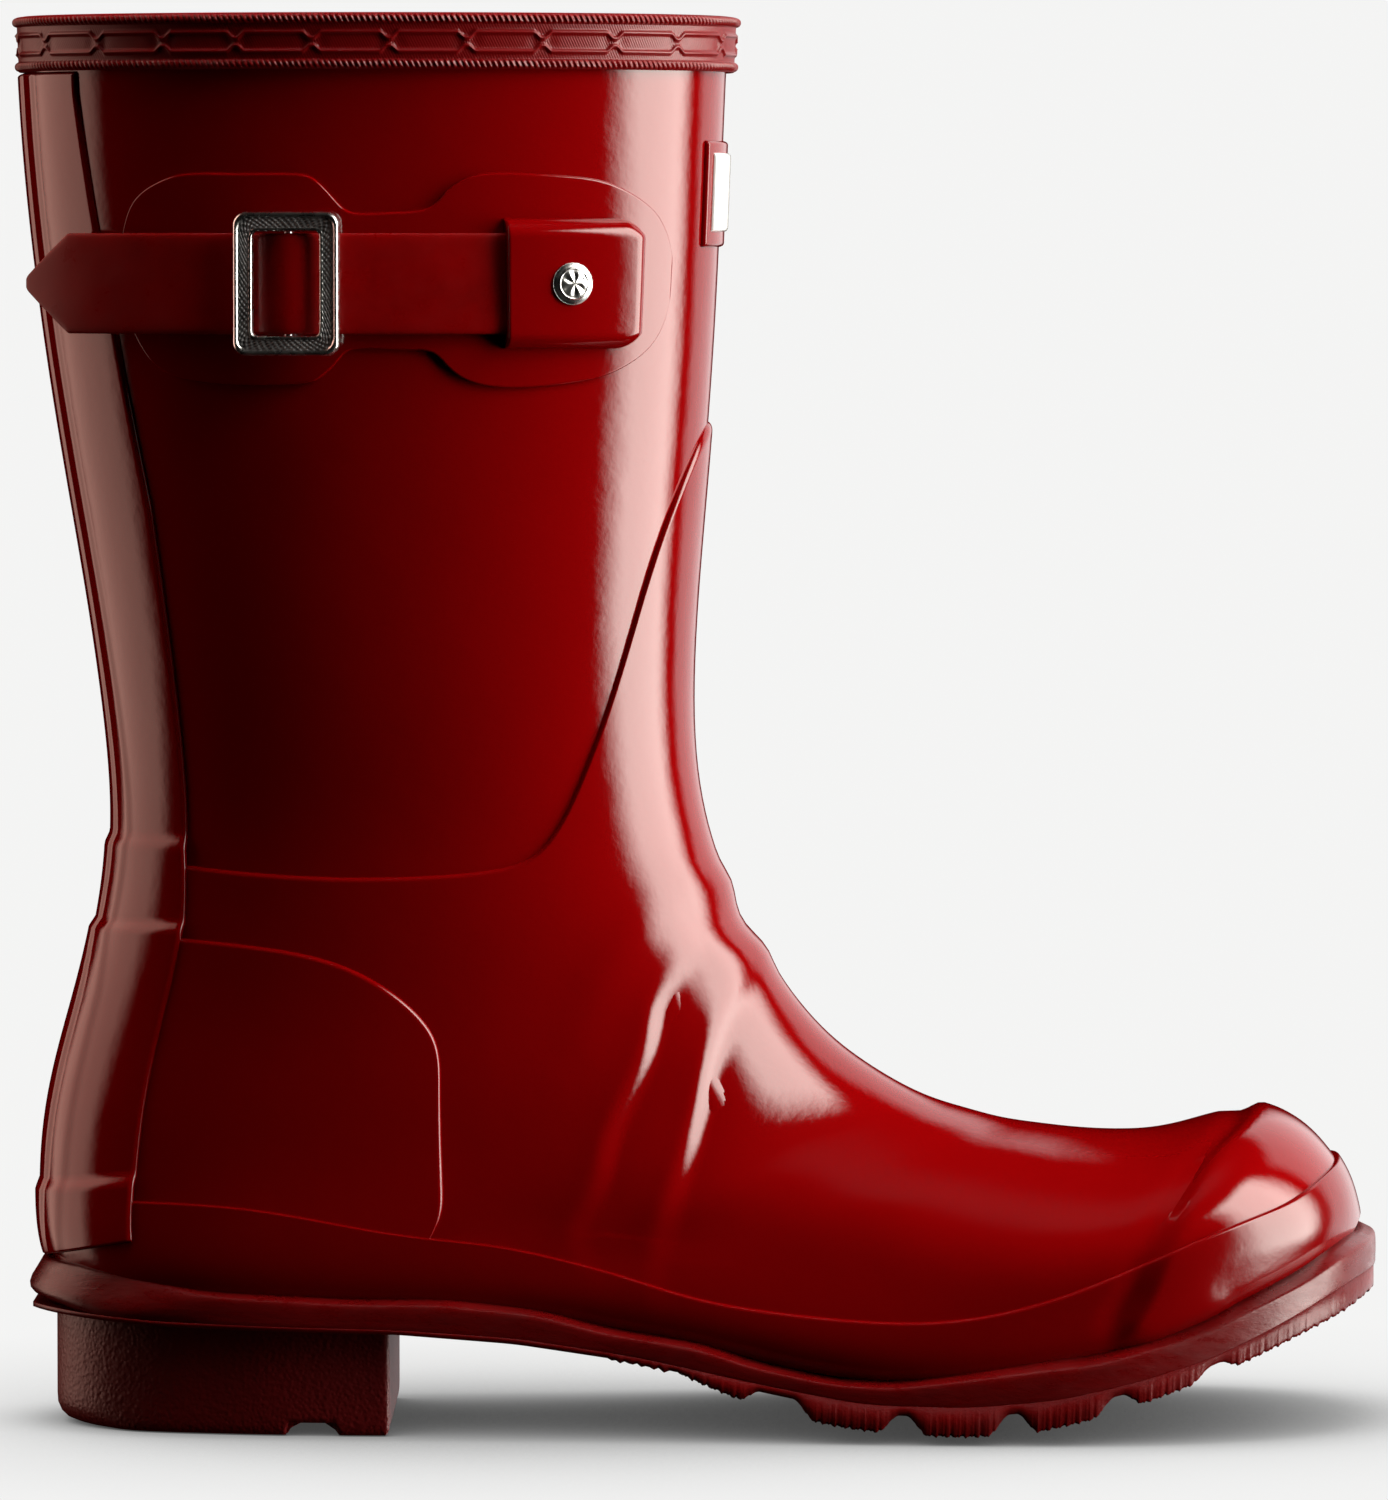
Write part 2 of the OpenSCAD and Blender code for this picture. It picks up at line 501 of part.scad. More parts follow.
// Filler and steel shank between the outsole and the shell
module sole_filler() {
    color(board) sole_plate(14, lifted(SEAT, 0.2), lifted(SEAT, 1.0), -2, 112);
}

module steel_shank() {
    half = 7;
    xs = [for (i = [0:6]) -98 + i * 13];
    rows_low = [for (x = xs) [for (y = [-half, 0, half]) [x, mid_y + y, read_list(SEAT, x) + 0.2]]];
    rows_high = [for (x = xs) [for (y = [-half, 0, half]) [x, mid_y + y, read_list(SEAT, x) + 1.1]]];
    color(steel) plate(rows_low, rows_high);
}

// Inside the boot: the board under the foot, and the loose footbed with its textile cover.
// FLOOR is the height of the lining's inner face.
FLOOR = [[-126, 36], [-118, 31.5], [-108, 29.6], [-85, 28.9], [-60, 28.3], [-36, 26.9], [-12, 23.4],
         [12, 18.4], [34, 14.5], [54, 13.8], [72, 15.3], [88, 18.8], [102, 22.8], [113, 27.3],
         [122, 32]];
module insole_board() {
    color(board) sole_plate(18, lifted(FLOOR, 1.1), lifted(FLOOR, 2.1), -118, 110);
}

module footbed() {
    color(foam) sole_plate(15.5, lifted(FLOOR, 2.4), lifted(FLOOR, 2.4 + footbed_thick), -120, 114);
}

module footbed_cover() {
    low = 2.6 + footbed_thick;
    color(textile) sole_plate(15.5, lifted(FLOOR, low), lifted(FLOOR, low + 0.9), -120, 114);
}

// ---- Strap, pocket and buckle -----------------------------------------------------------------------
strap_v = 1 + (262 - strap_height) / 26;
// Point and outward direction on the leg at the strap's height, in plan
function leg_point(u) = let (p = skin(u, strap_v)) [p[0], p[1]];
function leg_out(u) = let (n = outward(u, strap_v)) [n[0], n[1]] / norm([n[0], n[1]]);

// Children stand on the leg at angle u and height z: local z points out of the leg, local y up
module on_leg(u, z, h) {
    p = leg_point(u) + leg_out(u) * h;
    n = leg_out(u);
    translate([p[0], p[1], z]) rotate([90, 0, atan2(n[0], -n[1])]) children();
}

// Upper and lower edge of the two-lobed patch under the strap, from front to back
PATCH_TOP = [[33, 2.12], [34, 1.9], [37, 1.7], [41, 1.57], [47, 1.45], [54, 1.38], [64, 1.35],
             [71, 1.35], [75, 1.4], [78, 1.5], [81, 1.62], [87, 1.65], [93, 1.65], [96, 1.55],
             [99, 1.4], [103, 1.35], [112, 1.35], [121, 1.35], [127, 1.42], [132, 1.56],
             [135, 1.8], [137, 2.1]];
PATCH_LOW = [[33, 2.18], [34, 2.4], [36, 2.58], [40, 2.74], [46, 2.87], [53, 2.95], [64, 3],
             [71, 2.99], [75, 2.94], [78, 2.84], [81, 2.72], [87, 2.7], [94, 2.7], [97, 2.8],
             [100, 2.92], [104, 2.97], [114, 2.98], [123, 2.95], [129, 2.88], [133, 2.72],
             [136, 2.44], [137, 2.14]];
patch_columns = 21;
module strap_patch() {
    color(boot_red) plate(patch_rows(PATCH_TOP, PATCH_LOW, 4, patch_columns, first_out, false),
                          patch_rows(PATCH_TOP, PATCH_LOW, 4, patch_columns, first_in, false));
}

// Route of the strap in plan: [u, height of its middle above the leg]
STRAP_ROUTE = [[52, 2.9], [64, 2.9], [76, 2.9], [88, 2.9], [94, 2.8], [98, 3.2], [101, 4.7], [104, 5.4],
               [107, 4.7], [110, 3.4], [112, 3.3], [114.2, 3.3]];
TAIL_ROUTE = [[114.6, 3.3], [120, 4.5], [127, 4.6], [135, 4.8], [143, 5.4], [151, 6.5],
              [158, 7.7]];

function route_point(route, t) = let (q = along(route, t)) leg_point(q[0]) + leg_out(q[0]) * q[1];
function route_side(route, t, d) =
    let (a = route_point(route, max(t - 0.01, 0)),
         b = route_point(route, min(t + 0.01, 1)),
         k = (b - a) / norm(b - a))
    route_point(route, t) + [k[1], -k[0]] * d;
module ribbon(route, steps) {
    half = strap_thick / 2;
    outline = concat([for (i = [0:steps]) route_side(route, i / steps, half)],
                     [for (i = [steps:-1:0]) route_side(route, i / steps, -half)]);
    translate([0, 0, strap_height - strap_width / 2]) linear_extrude(height = strap_width)
        polygon(outline);
}

module strap() {
    color(deep_red) ribbon(STRAP_ROUTE, 20);
}

// The free end is cut to a point
module strap_tail() {
    tip = route_point(TAIL_ROUTE, 1);
    point_start = -122.5;
    half = strap_width / 2;
    color(deep_red) intersection() {
        ribbon(TAIL_ROUTE, 12);
        translate([0, 0, strap_height]) rotate([90, 0, 0]) linear_extrude(height = 60)
            polygon([[-80, -half - 1], [-80, half + 1], [point_start, half + 1],
                     [point_start, half], [tip[0] - 1, 1], [tip[0] - 1, -1],
                     [point_start, -half], [point_start, -half - 1]]);
    }
}

// The pocket is a domed cap over the strap's front end, open at the back where the strap enters
pocket_u = [42, 68.5];
pocket_v = [strap_v - 0.47, strap_v + 0.47];
pocket_rise = 5.9;
function pocket_rows(inner) = [for (r = [0:8]) [for (c = [0:8])
    let (fu = c / 8, fv = r / 8,
         u = pocket_u[0] + (pocket_u[1] - pocket_u[0]) * fu,
         v = pocket_v[0] + (pocket_v[1] - pocket_v[0]) * fv,
         edge_v = min(fv, 1 - fv) * 8,
         edge_u = fu * 8,
         open = inner && edge_v >= 1 && edge_u >= 2,
         rim = min(edge_v, edge_u, 8 - edge_u) < 0.5)
    layer(u, v, inner ? (open ? 4.5 : first_out + 0.2) : (rim ? 4.9 : pocket_rise))]];
module strap_pocket() {
    color(boot_red) plate(pocket_rows(false), pocket_rows(true));
}

// ---- Buckle: it turns on its centre bar --------------------------------------------------------------
buckle_u = 104;
bar_height = 3.05;
frame_under = 4.7;
bar_r = bar_diameter / 2;
bar_clearance = 0.06;
loop_wall = 0.3;
window_height = buckle_height - 2 * buckle_rail;

module rounded_plate(w, h, r, t) {
    linear_extrude(height = t) {
        square([w, h - 2 * r], center = true);
        square([w - 2 * r, h], center = true);
        for (x = [-1, 1]) for (y = [-1, 1]) translate([x * (w / 2 - r), y * (h / 2 - r)])
            circle(r = r, $fn = 32);
    }
}

module buckle_frame() {
    lug_w = 3.6;
    lug_t = 1.6;
    color(gunmetal) on_leg(buckle_u, strap_height, 0) difference() {
        union() {
            translate([0, 0, frame_under])
                rounded_plate(buckle_length, buckle_height, 2.4, buckle_thick);
            for (s = [-1, 1]) translate([-lug_w / 2, s * (window_height / 2 + 0.9) - lug_t / 2, 2.4])
                cube([lug_w, lug_t, frame_under - 2.3]);
        }
        translate([0, 0, frame_under - 0.1])
            rounded_plate(buckle_length - 2 * buckle_rail, window_height, 1, buckle_thick + 0.2);
        translate([0, 0, bar_height]) rotate([90, 0, 0])
            cylinder(h = buckle_height, r = bar_r, center = true, $fn = 48);
    }
}

module buckle_bar() {
    color(steel) on_leg(buckle_u, strap_height, bar_height) rotate([90, 0, 0])
        cylinder(h = window_height + 3.2, r = bar_r, center = true, $fn = 48);
}

// The loop of thin metal turns around the bar and runs back under the strap to its rivet
loop_h = 12;
loop_rivet_u = 119.5;
loop_rivet_z = strap_height + 5;
module buckle_loop() {
    tab_u = [103.6, 109, 114, 119, 123.5];
    z_low = strap_height - 4;
    tab_low = first_out + 0.64;
    eye_r = bar_r + bar_clearance;
    outline = concat([for (u = tab_u) leg_point(u) + leg_out(u) * (tab_low + loop_wall)],
                     [for (i = [len(tab_u) - 1:-1:0]) leg_point(tab_u[i]) + leg_out(tab_u[i]) * tab_low]);
    color(steel) difference() {
        union() {
            translate([0, 0, z_low]) linear_extrude(height = loop_h) polygon(outline);
            on_leg(buckle_u, z_low + loop_h / 2, bar_height) rotate([90, 0, 0])
                cylinder(h = loop_h, r = eye_r + loop_wall, center = true, $fn = 48);
        }
        on_leg(buckle_u, z_low + loop_h / 2, bar_height) rotate([90, 0, 0])
            cylinder(h = loop_h + 2, r = eye_r, center = true, $fn = 48);
    }
}

module dome(d, h) {
    sphere_r = (d * d / 4 + h * h) / (2 * h);
    intersection() {
        translate([0, 0, h - sphere_r]) sphere(r = sphere_r, $fn = 48);
        cylinder(h = h + 1, d = d, $fn = 48);
    }
}

// The pocket's rivet: domed cap outside, shank through the layers, washer inside the lining
strap_rivet_u = 57.5;
washer_low = lining_in - 1.5;
module strap_rivet_cap() {
    color(steel) on_leg(strap_rivet_u, strap_height, pocket_rise + 0.3) dome(rivet_head, 1.8);
}
module strap_rivet_shank() {
    color(steel) on_leg(strap_rivet_u, strap_height, washer_low)
        cylinder(h = pocket_rise + 0.3 - washer_low, d = rivet_shank, $fn = 32);
}
module washer() {
    difference() {
        cylinder(h = 0.8, d = 9, $fn = 48);
        translate([0, 0, -1]) cylinder(h = 3, d = rivet_shank, $fn = 32);
    }
}
module strap_rivet_washer() {
    color(steel) on_leg(strap_rivet_u, strap_height, washer_low) washer();
}

// The loop's rivet holds the buckle to the leg under the strap
loop_rivet_rise = first_out + 0.68 + loop_wall;
module loop_rivet() {
    color(steel) on_leg(loop_rivet_u, loop_rivet_z, 0) {
        translate([0, 0, loop_rivet_rise]) dome(8.6, 0.8);
        translate([0, 0, washer_low]) cylinder(h = loop_rivet_rise + 0.4 - washer_low,
                                               d = rivet_shank, $fn = 32);
    }
}
module loop_rivet_washer() {
    color(steel) on_leg(loop_rivet_u, loop_rivet_z, washer_low) washer();
}

// ---- Blank label on the shin ----------------------------------------------------------------------------
function label_rows(u_half, v0, v1, d) =
    [for (r = [0:3]) [for (c = [-5:5]) layer(c * u_half / 5, v0 + (v1 - v0) * r / 3, d)]];
module label_base() {
    color(boot_red) plate(label_rows(21, 1.08, 1.92, first_out), label_rows(21, 1.08, 1.92, first_in));
}
module label_insert() {
    color("white") plate(label_rows(18, 1.18, 1.8, first_out + 0.6),
                         label_rows(18, 1.18, 1.8, first_out + 0.1));
}

leg_shell();
lining();
vamp_overlay();
heel_counter();
back_strip();
foxing_band();
top_binding();
toe_puff();
heel_stiffener();
sidewall_band();
outsole();
heel_block();
sole_filler();
steel_shank();
insole_board();
footbed();
footbed_cover();
strap_patch();
strap_pocket();
strap();
strap_tail();
buckle_frame();
buckle_bar();
buckle_loop();
strap_rivet_cap();
strap_rivet_shank();
strap_rivet_washer();
loop_rivet();
loop_rivet_washer();
label_base();
label_insert();
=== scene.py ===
"""Looks of the rubber rain boot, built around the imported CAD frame."""
import json
import math

import bpy
import numpy as np
from mathutils import Matrix, Vector


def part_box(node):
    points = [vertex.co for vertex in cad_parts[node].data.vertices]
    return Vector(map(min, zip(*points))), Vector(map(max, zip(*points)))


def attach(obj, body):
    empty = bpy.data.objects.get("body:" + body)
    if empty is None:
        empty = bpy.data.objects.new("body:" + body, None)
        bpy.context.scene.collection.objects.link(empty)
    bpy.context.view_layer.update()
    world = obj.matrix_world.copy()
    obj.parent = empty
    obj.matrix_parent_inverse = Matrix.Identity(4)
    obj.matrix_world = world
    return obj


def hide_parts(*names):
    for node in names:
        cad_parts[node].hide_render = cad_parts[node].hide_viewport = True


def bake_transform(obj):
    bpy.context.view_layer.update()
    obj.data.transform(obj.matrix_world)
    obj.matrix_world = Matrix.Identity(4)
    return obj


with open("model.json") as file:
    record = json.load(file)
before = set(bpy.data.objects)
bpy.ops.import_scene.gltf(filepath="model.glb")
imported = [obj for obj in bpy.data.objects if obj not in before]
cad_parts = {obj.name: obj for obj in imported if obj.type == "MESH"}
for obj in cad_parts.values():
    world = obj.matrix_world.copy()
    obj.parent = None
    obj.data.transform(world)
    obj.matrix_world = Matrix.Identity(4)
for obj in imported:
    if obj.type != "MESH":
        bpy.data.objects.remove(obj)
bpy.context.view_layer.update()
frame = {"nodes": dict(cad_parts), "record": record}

# ---------------------------------------------------------------- the form of the boot, in mm
# One row a ring, from the top edge down the leg and out to the toe:
# front x z, back x z, half width, side shift, share, squareness of the front and back half.
RINGS = np.array([
    [7, 284, -135.5, 284, 47, 0, .50, 2.15, 2.10], [6, 262, -134.5, 262, 46.5, 0, .50, 2.15, 2.10],
    [5, 236, -132, 236, 45.5, 0, .50, 2.15, 2.10], [3.5, 210, -128.5, 210, 44, 0, .50, 2.10, 2.10],
    [1.5, 186, -124.5, 186, 42.5, 0, .50, 2.10, 2.10], [-.5, 162, -120.5, 162, 40.5, 0, .50, 2.10, 2.10],
    [-1, 140, -117.5, 139, 38, 0, .50, 2.10, 2.10], [1, 124, -116.5, 120, 36, 0, .50, 2.10, 2.10],
    [5, 111, -118.5, 103, 35.5, 0, .50, 2.10, 2.10], [10.5, 100, -122, 88, 35, 0, .50, 2.10, 2.15],
    [17, 89, -126, 74, 35, 0, .50, 2.05, 2.20], [25, 79, -129, 59, 35.5, 0, .50, 2.05, 2.30],
    [33, 72.5, -129.5, 43, 35.5, 0, .50, 2.05, 2.50], [41, 67.5, -126, 29, 36, 0, .50, 2.05, 3.00],
    [48.5, 64, -108, 25, 36, 0, .52, 2.05, 3.80], [55.5, 62, -85, 24.5, 36.5, 0, .54, 2.05, 4.40],
    [62.5, 60, -60, 24, 37, 0, .56, 2.05, 4.80], [69.5, 59, -36, 22.5, 38.5, 0, .58, 2.05, 5.00],
    [77, 58, -12, 19, 41, .5, .61, 2.05, 5.00], [84.5, 57.5, 12, 14, 44, 1, .63, 2.05, 5.00],
    [92, 57.5, 34, 10, 47, 1.5, .65, 2.05, 5.00], [99.5, 58.5, 54, 9.5, 48, 2.5, .65, 2.10, 4.80],
    [106.5, 60.5, 72, 11, 48, 3.5, .65, 2.15, 4.40], [113, 61.5, 88, 14.5, 47, 4.5, .64, 2.20, 4.00],
    [119, 60.5, 102, 18.5, 43.5, 5.5, .62, 2.20, 3.60], [125, 57.5, 113.5, 23, 38, 6.5, .60, 2.20, 3.20],
    [129.5, 53, 122, 27.5, 30.5, 7, .58, 2.20, 2.80], [132.5, 48, 127.5, 31, 21.5, 7, .55, 2.10, 2.40],
    [134, 42.5, 131.5, 34, 11, 7, .52, 2.00, 2.00], [134.5, 38, 134.5, 38, 0, 7, .50, 2.00, 2.00]], float)
LAST = len(RINGS) - 1
MID_Y = -1.7
TOP_EDGE = RINGS[0, 1]                      # height of the shell's top edge
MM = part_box("leg_shell")[1].z / TOP_EDGE    # one millimetre of these lists in the frame's metres


def spline(rows):
    """A natural cubic curve through rows at places 0, 1, 2 and so on."""
    y = np.asarray(rows, float)
    n = len(y)
    a = np.eye(n)
    b = np.zeros_like(y)
    for i in range(1, n - 1):
        a[i, i - 1:i + 2] = 1, 4, 1
        b[i] = 6 * (y[i - 1] - 2 * y[i] + y[i + 1])
    m = np.linalg.solve(a, b)

    def at(t):
        t = np.asarray(t, float)
        i = np.clip(np.floor(t).astype(int), 0, n - 2)
        f = (t - i)[..., None]
        return ((1 - f) * y[i] + f * y[i + 1]
                + ((1 - f) ** 3 - (1 - f)) / 6 * m[i] + (f ** 3 - f) / 6 * m[i + 1])
    return at


def mirrored_rings(k):
    """The ring k places past the toe, for the curve to run on smoothly."""
    row = RINGS[LAST - k].copy()
    row[0:2], row[2:4] = RINGS[LAST - k][2:4], RINGS[LAST - k][0:2]
    row[4] = -row[4]
    return row


ring_curve = spline(np.vstack([2 * RINGS[0] - RINGS[1], RINGS, [mirrored_rings(k) for k in (1, 2, 3)]]))
PER_RING = 8                                # fine rings to each row of RINGS
REACH = 12                                  # fine rings on each side that the smoothing takes in
SPREAD = 0.45                               # its width, in rows of RINGS
fine_v = np.linspace(0, LAST, 30 * PER_RING + 1)
fine_rings = ring_curve(fine_v + 1)
blur = np.exp(-0.5 * (np.arange(-REACH, REACH + 1) / PER_RING / SPREAD) ** 2)
blur /= blur.sum()
for col in range(RINGS.shape[1]):
    padded = np.concatenate([2 * fine_rings[0, col] - fine_rings[REACH:0:-1, col], fine_rings[:, col],
                             2 * fine_rings[-1, col] - fine_rings[-2:-REACH - 2:-1, col]])
    fine_rings[:, col] = np.convolve(padded, blur, "valid")


def skin(u, v):
    """Points of the shell's outer face; u in degrees around, v along the rings."""
    u, v = np.broadcast_arrays(np.asarray(u, float), np.asarray(v, float))
    s = np.stack([np.interp(v, fine_v, fine_rings[:, c]) for c in range(9)], -1)
    cu, su = np.cos(np.radians(u)), np.sin(np.radians(u))
    k = (1 - cu) / 2
    k = k * k * (3 - 2 * k)
    n = s[..., 7] + (s[..., 8] - s[..., 7]) * k
    r = (np.abs(cu) ** n + np.abs(su) ** n) ** (-1 / n)
    reach = (s[..., 6] + (1 - 2 * s[..., 6]) * k) * r * cu - s[..., 6]
    return np.stack([s[..., 0] - (s[..., 2] - s[..., 0]) * reach,
                     MID_Y + s[..., 5] - s[..., 4] * r * su,
                     s[..., 1] - (s[..., 3] - s[..., 1]) * reach], -1)


def unit(a):
    return a / np.maximum(np.linalg.norm(a, axis=-1, keepdims=True), 1e-12)


def distances(points):
    """How far along a line of points each of them is."""
    return np.concatenate([[0], np.cumsum(np.linalg.norm(np.diff(points, axis=0), axis=1))])


def outward(u, v):
    """Unit directions out of the shell."""
    u, v = np.broadcast_arrays(np.asarray(u, float), np.asarray(v, float))
    v = np.clip(v, 0.05, LAST - 0.12)
    return unit(np.cross(skin(u + .6, v) - skin(u - .6, v), skin(u, v + .05) - skin(u, v - .05)))


def step(x, low, high):
    """A smooth rise from 0 at low to 1 at high."""
    k = np.clip((x - low) / (high - low), 0, 1)
    return k * k * (3 - 2 * k)


# Folds of the instep and the toe: route, height, width and shape; the shape and where the route starts set
# how softly the ends fade.
CREASES = [
    ([(17, 9.6), (24, 9.75), (32, 10.05), (40, 10.5), (47, 11.1), (53, 11.8), (65, 13.35), (82, 15.25),
      (105, 16.75)], 1.9, 6.5, "fold"),
    ([(32, 9.0), (38, 9.2), (46, 9.62), (52, 10.1), (57, 10.75), (65, 11.65), (72, 12.6), (81, 13.8),
      (101, 15.6)], 1.5, 6.0, "fold"),
    ([(-8, 22.9), (19, 22.55), (33, 22.1), (46, 21.9), (66, 21.95), (84, 22.15), (99, 22.2), (116, 22.2)],
     1.5, 17.0, "toe"),
    ([(20, 7.9), (33, 8.1), (47, 8.7), (60, 9.7), (70, 10.9)], 0.6, 4.0, "round"),
    ([(-34, 7.9), (-12, 8.15), (12, 8.15), (34, 7.9)], 0.7, 2.6, "round"),
    ([(-34, 9.3), (-12, 9.45), (12, 9.45), (34, 9.3)], 0.7, 2.8, "round"),
    ([(-40, 8.7), (-14, 8.8), (14, 8.8), (40, 8.7)], -0.8, 3.0, "round")]


def fold_shape(kind, s, width):
    """Height across a crease; s runs from its heel side to its toe side in mm."""
    if kind == "round":
        return np.exp(-s * s / (2 * width * width))
    fall = np.exp(-np.clip(s - 4, 0, None) / width)
    if kind == "fold":
        climb = np.where(s < 1.4, np.exp((s - 1.4) / width), 1)
        return climb * (1 - 1.5 * step(s, -1.6, 4.4)) * fall
    rise = step(s, -.5, 4.0)
    dip = -.45 * step(s, -5, -.5) * (1 - rise)
    return dip + rise * fall


def crease_height(points):
    """Height that the creases add at points of the shell."""
    places = 70
    t = np.linspace(0, 1, places)
    flat = points.reshape(-1, 3)
    total = np.zeros(len(flat))
    foot = np.where((flat[:, 2] > 8) & (flat[:, 2] < 150) & (flat[:, 0] > -90))[0]
    if not len(foot):
        return total.reshape(points.shape[:-1])
    for route, height, width, kind in CREASES:
        for side in (1, -1):
            if side < 0 and route[0][0] < 0:
                continue
            uv = spline([(side * u, v) for u, v in route])(t * (len(route) - 1))
            line = skin(uv[:, 0], uv[:, 1])
            across = unit(np.cross(np.gradient(line, axis=0), outward(uv[:, 0], uv[:, 1])))
            across *= np.sign(across[:, 0].sum())
            along, turn = np.gradient(line, axis=0), np.gradient(across, axis=0)
            fade = np.sin(np.pi * np.clip(t, 0.02, 0.98)) ** 0.8
            if kind == "toe" and route[0][0] < 0:
                fade = 1 - step(t, .82, 1.0)
            low, high = line.min(0) - 45, line.max(0) + 45
            near = foot[((flat[foot] > low) & (flat[foot] < high)).all(1)]
            for part in np.array_split(near, max(1, len(near) // 20000)):
                j = ((flat[part][:, None, :] - line[None]) ** 2).sum(-1).argmin(1)
                gap = flat[part] - line[j]
                f = np.clip((gap * along[j]).sum(-1) / (along[j] ** 2).sum(-1), -1, 1)[:, None]
                gap = gap - f * along[j]
                s = (gap * unit(across[j] + f * turn[j])).sum(-1)
                d = np.linalg.norm(gap, axis=-1)
                off = np.sqrt(np.clip(d * d - s * s, 0, None))
                if kind == "round":
                    s, off = d, 0 * d
                strength = height * np.interp(j + f[:, 0], np.arange(places), fade)
                total[part] += strength * fold_shape(kind, s, width) * np.exp(-(off / 6) ** 2)
    return total.reshape(points.shape[:-1])


def layer(u, v, d):
    """Points d mm out from the shell, creases included."""
    p = skin(u, v)
    return p + outward(u, v) * (np.asarray(d, float) + crease_height(p))[..., None]


# ---------------------------------------------------------------- meshes
def make(name, points, faces, material):
    """A mesh object from points in mm."""
    mesh = bpy.data.meshes.new(name)
    mesh.from_pydata((np.asarray(points, float).reshape(-1, 3) * MM).tolist(), [], faces)
    mesh.validate()
    mesh.polygons.foreach_set("use_smooth", [True] * len(mesh.polygons))
    mesh.update()
    o = bpy.data.objects.new(name, mesh)
    bpy.context.scene.collection.objects.link(o)
    o.data.materials.append(material)
    return o


def grid_quads(index, wrap_r=False, wrap_c=False):
    """Quads over a grid of vertex indices."""
    a = index
    if wrap_r:
        a = np.vstack([a, a[:1]])
    if wrap_c:
        a = np.hstack([a, a[:, :1]])
    return np.stack([a[:-1, :-1], a[:-1, 1:], a[1:, 1:], a[1:, :-1]], -1).reshape(-1, 4)


def clean(faces, flip=False):
    """Faces as lists, without repeated corners."""
    out = []
    for f in faces.tolist():
        g = [p for i, p in enumerate(f) if p != f[i - 1]]
        if len(set(g)) >= 3:
            out.append(g[::-1] if flip else g)
    return out


EDGE = np.array([0, .03, .1, .2, .34, .52, .74, 1.0, 1.4])     # rows near an edge, mm in from it


def edge_profile(x, r=0.85):
    """Share of full height at a distance x from a rubber layer's edge."""
    x = np.clip(x / r, 0, 1)
    return np.sqrt(np.clip(1 - (1 - x) ** 2, 0, 1))


def spaced(length, middle):
    """Shares 0 to 1 down lines of the given lengths: close together near both ends."""
    length = np.atleast_1d(length)
    k = np.minimum(1, 0.4 * length / EDGE[-1])
    first = EDGE[:, None] * k / length
    mid = first[-1] + (1 - 2 * first[-1]) * (np.arange(1, middle) / middle)[:, None]
    return np.vstack([first, mid, 1 - first[::-1]])


def between(a, b, f):
    """u and v at shares f of the way from route points a to route points b."""
    return a[:, 0] * (1 - f) + b[:, 0] * f, a[:, 1] * (1 - f) + b[:, 1] * f


def lengths(a, b):
    """How far it is over the boot from each point of a to its point of b."""
    lines = skin(*between(a, b, np.linspace(0, 1, 12)[:, None]))
    return np.linalg.norm(np.diff(lines, axis=0), axis=-1).sum(0)


def closed_route(rows):
    """A smooth loop through [u, v] rows from front centre to back centre and their mirror image.

    Its place q runs from 0 to 2."""
    half = np.array(rows, float)
    back = half[-2:0:-1].copy()
    back[:, 0] = 360 - back[:, 0]
    loop = np.vstack([half, back])
    before, after = loop[-4:].copy(), loop[:4].copy()
    before[:, 0] -= 360
    after[:, 0] += 360
    at = spline(np.vstack([before, loop, after]))
    n = len(half) - 1
    return lambda q: at(4 + np.asarray(q) * n)


def open_route(rows):
    at = spline(rows)
    n = len(rows) - 1
    return lambda t: at(np.asarray(t) * n)


def even_places(at, n, end):
    """n places around a loop that are evenly far apart on the boot."""
    t = np.linspace(0, end, 1200)
    uv = at(t)
    run = distances(skin(uv[:, 0], uv[:, 1]))
    return np.interp(np.linspace(0, run[-1], n + 1)[:-1], run, t)


def wrapped_band(name, top, foot, material, d_out, d_in, columns, middle):
    """A closed rubber layer around the boot between two loops; d_out may be a function of q."""
    upper, lower = closed_route(top), closed_route(foot)
    q = even_places(upper, columns, 2)
    a, b = upper(q), lower(q)
    length = lengths(a, b)
    f = spaced(length, middle)
    high = d_out(q) if callable(d_out) else np.full(len(q), float(d_out))
    share = edge_profile(np.minimum(f, 1 - f) * length)
    outer = layer(*between(a, b, f), d_in + (high - d_in) * share)
    g = np.linspace(0, 1, 14)[1:-1][::-1, None]
    inner = layer(*between(a, b, g), d_in)
    points = np.vstack([outer, inner])
    index = np.arange(points.shape[0] * points.shape[1]).reshape(points.shape[:2])
    return make(name, points, clean(grid_quads(index, True, True)), material)


def pillow(name, u, v, high, d_in, material):
    """A closed layer over grids of u and v, from the height d_in to the height high."""
    outer = layer(u, v, high)
    inner = layer(u[1:-1, 1:-1], v[1:-1, 1:-1], d_in[1:-1, 1:-1])
    nr, nc = u.shape
    index = np.arange(nr * nc).reshape(nr, nc)
    under = index.copy()
    under[1:-1, 1:-1] = nr * nc + np.arange((nr - 2) * (nc - 2)).reshape(nr - 2, nc - 2)
    faces = clean(grid_quads(index)) + clean(grid_quads(under), True)
    return make(name, np.vstack([outer.reshape(-1, 3), inner.reshape(-1, 3)]), faces, material)


# ---------------------------------------------------------------- materials
def new_material(name):
    m = bpy.data.materials.new(name)
    m.use_nodes = True
    nt = m.node_tree
    nt.nodes.clear()
    out = nt.nodes.new("ShaderNodeOutputMaterial")
    p = nt.nodes.new("ShaderNodeBsdfPrincipled")
    nt.links.new(p.outputs[0], out.inputs[0])
    return m, nt, p


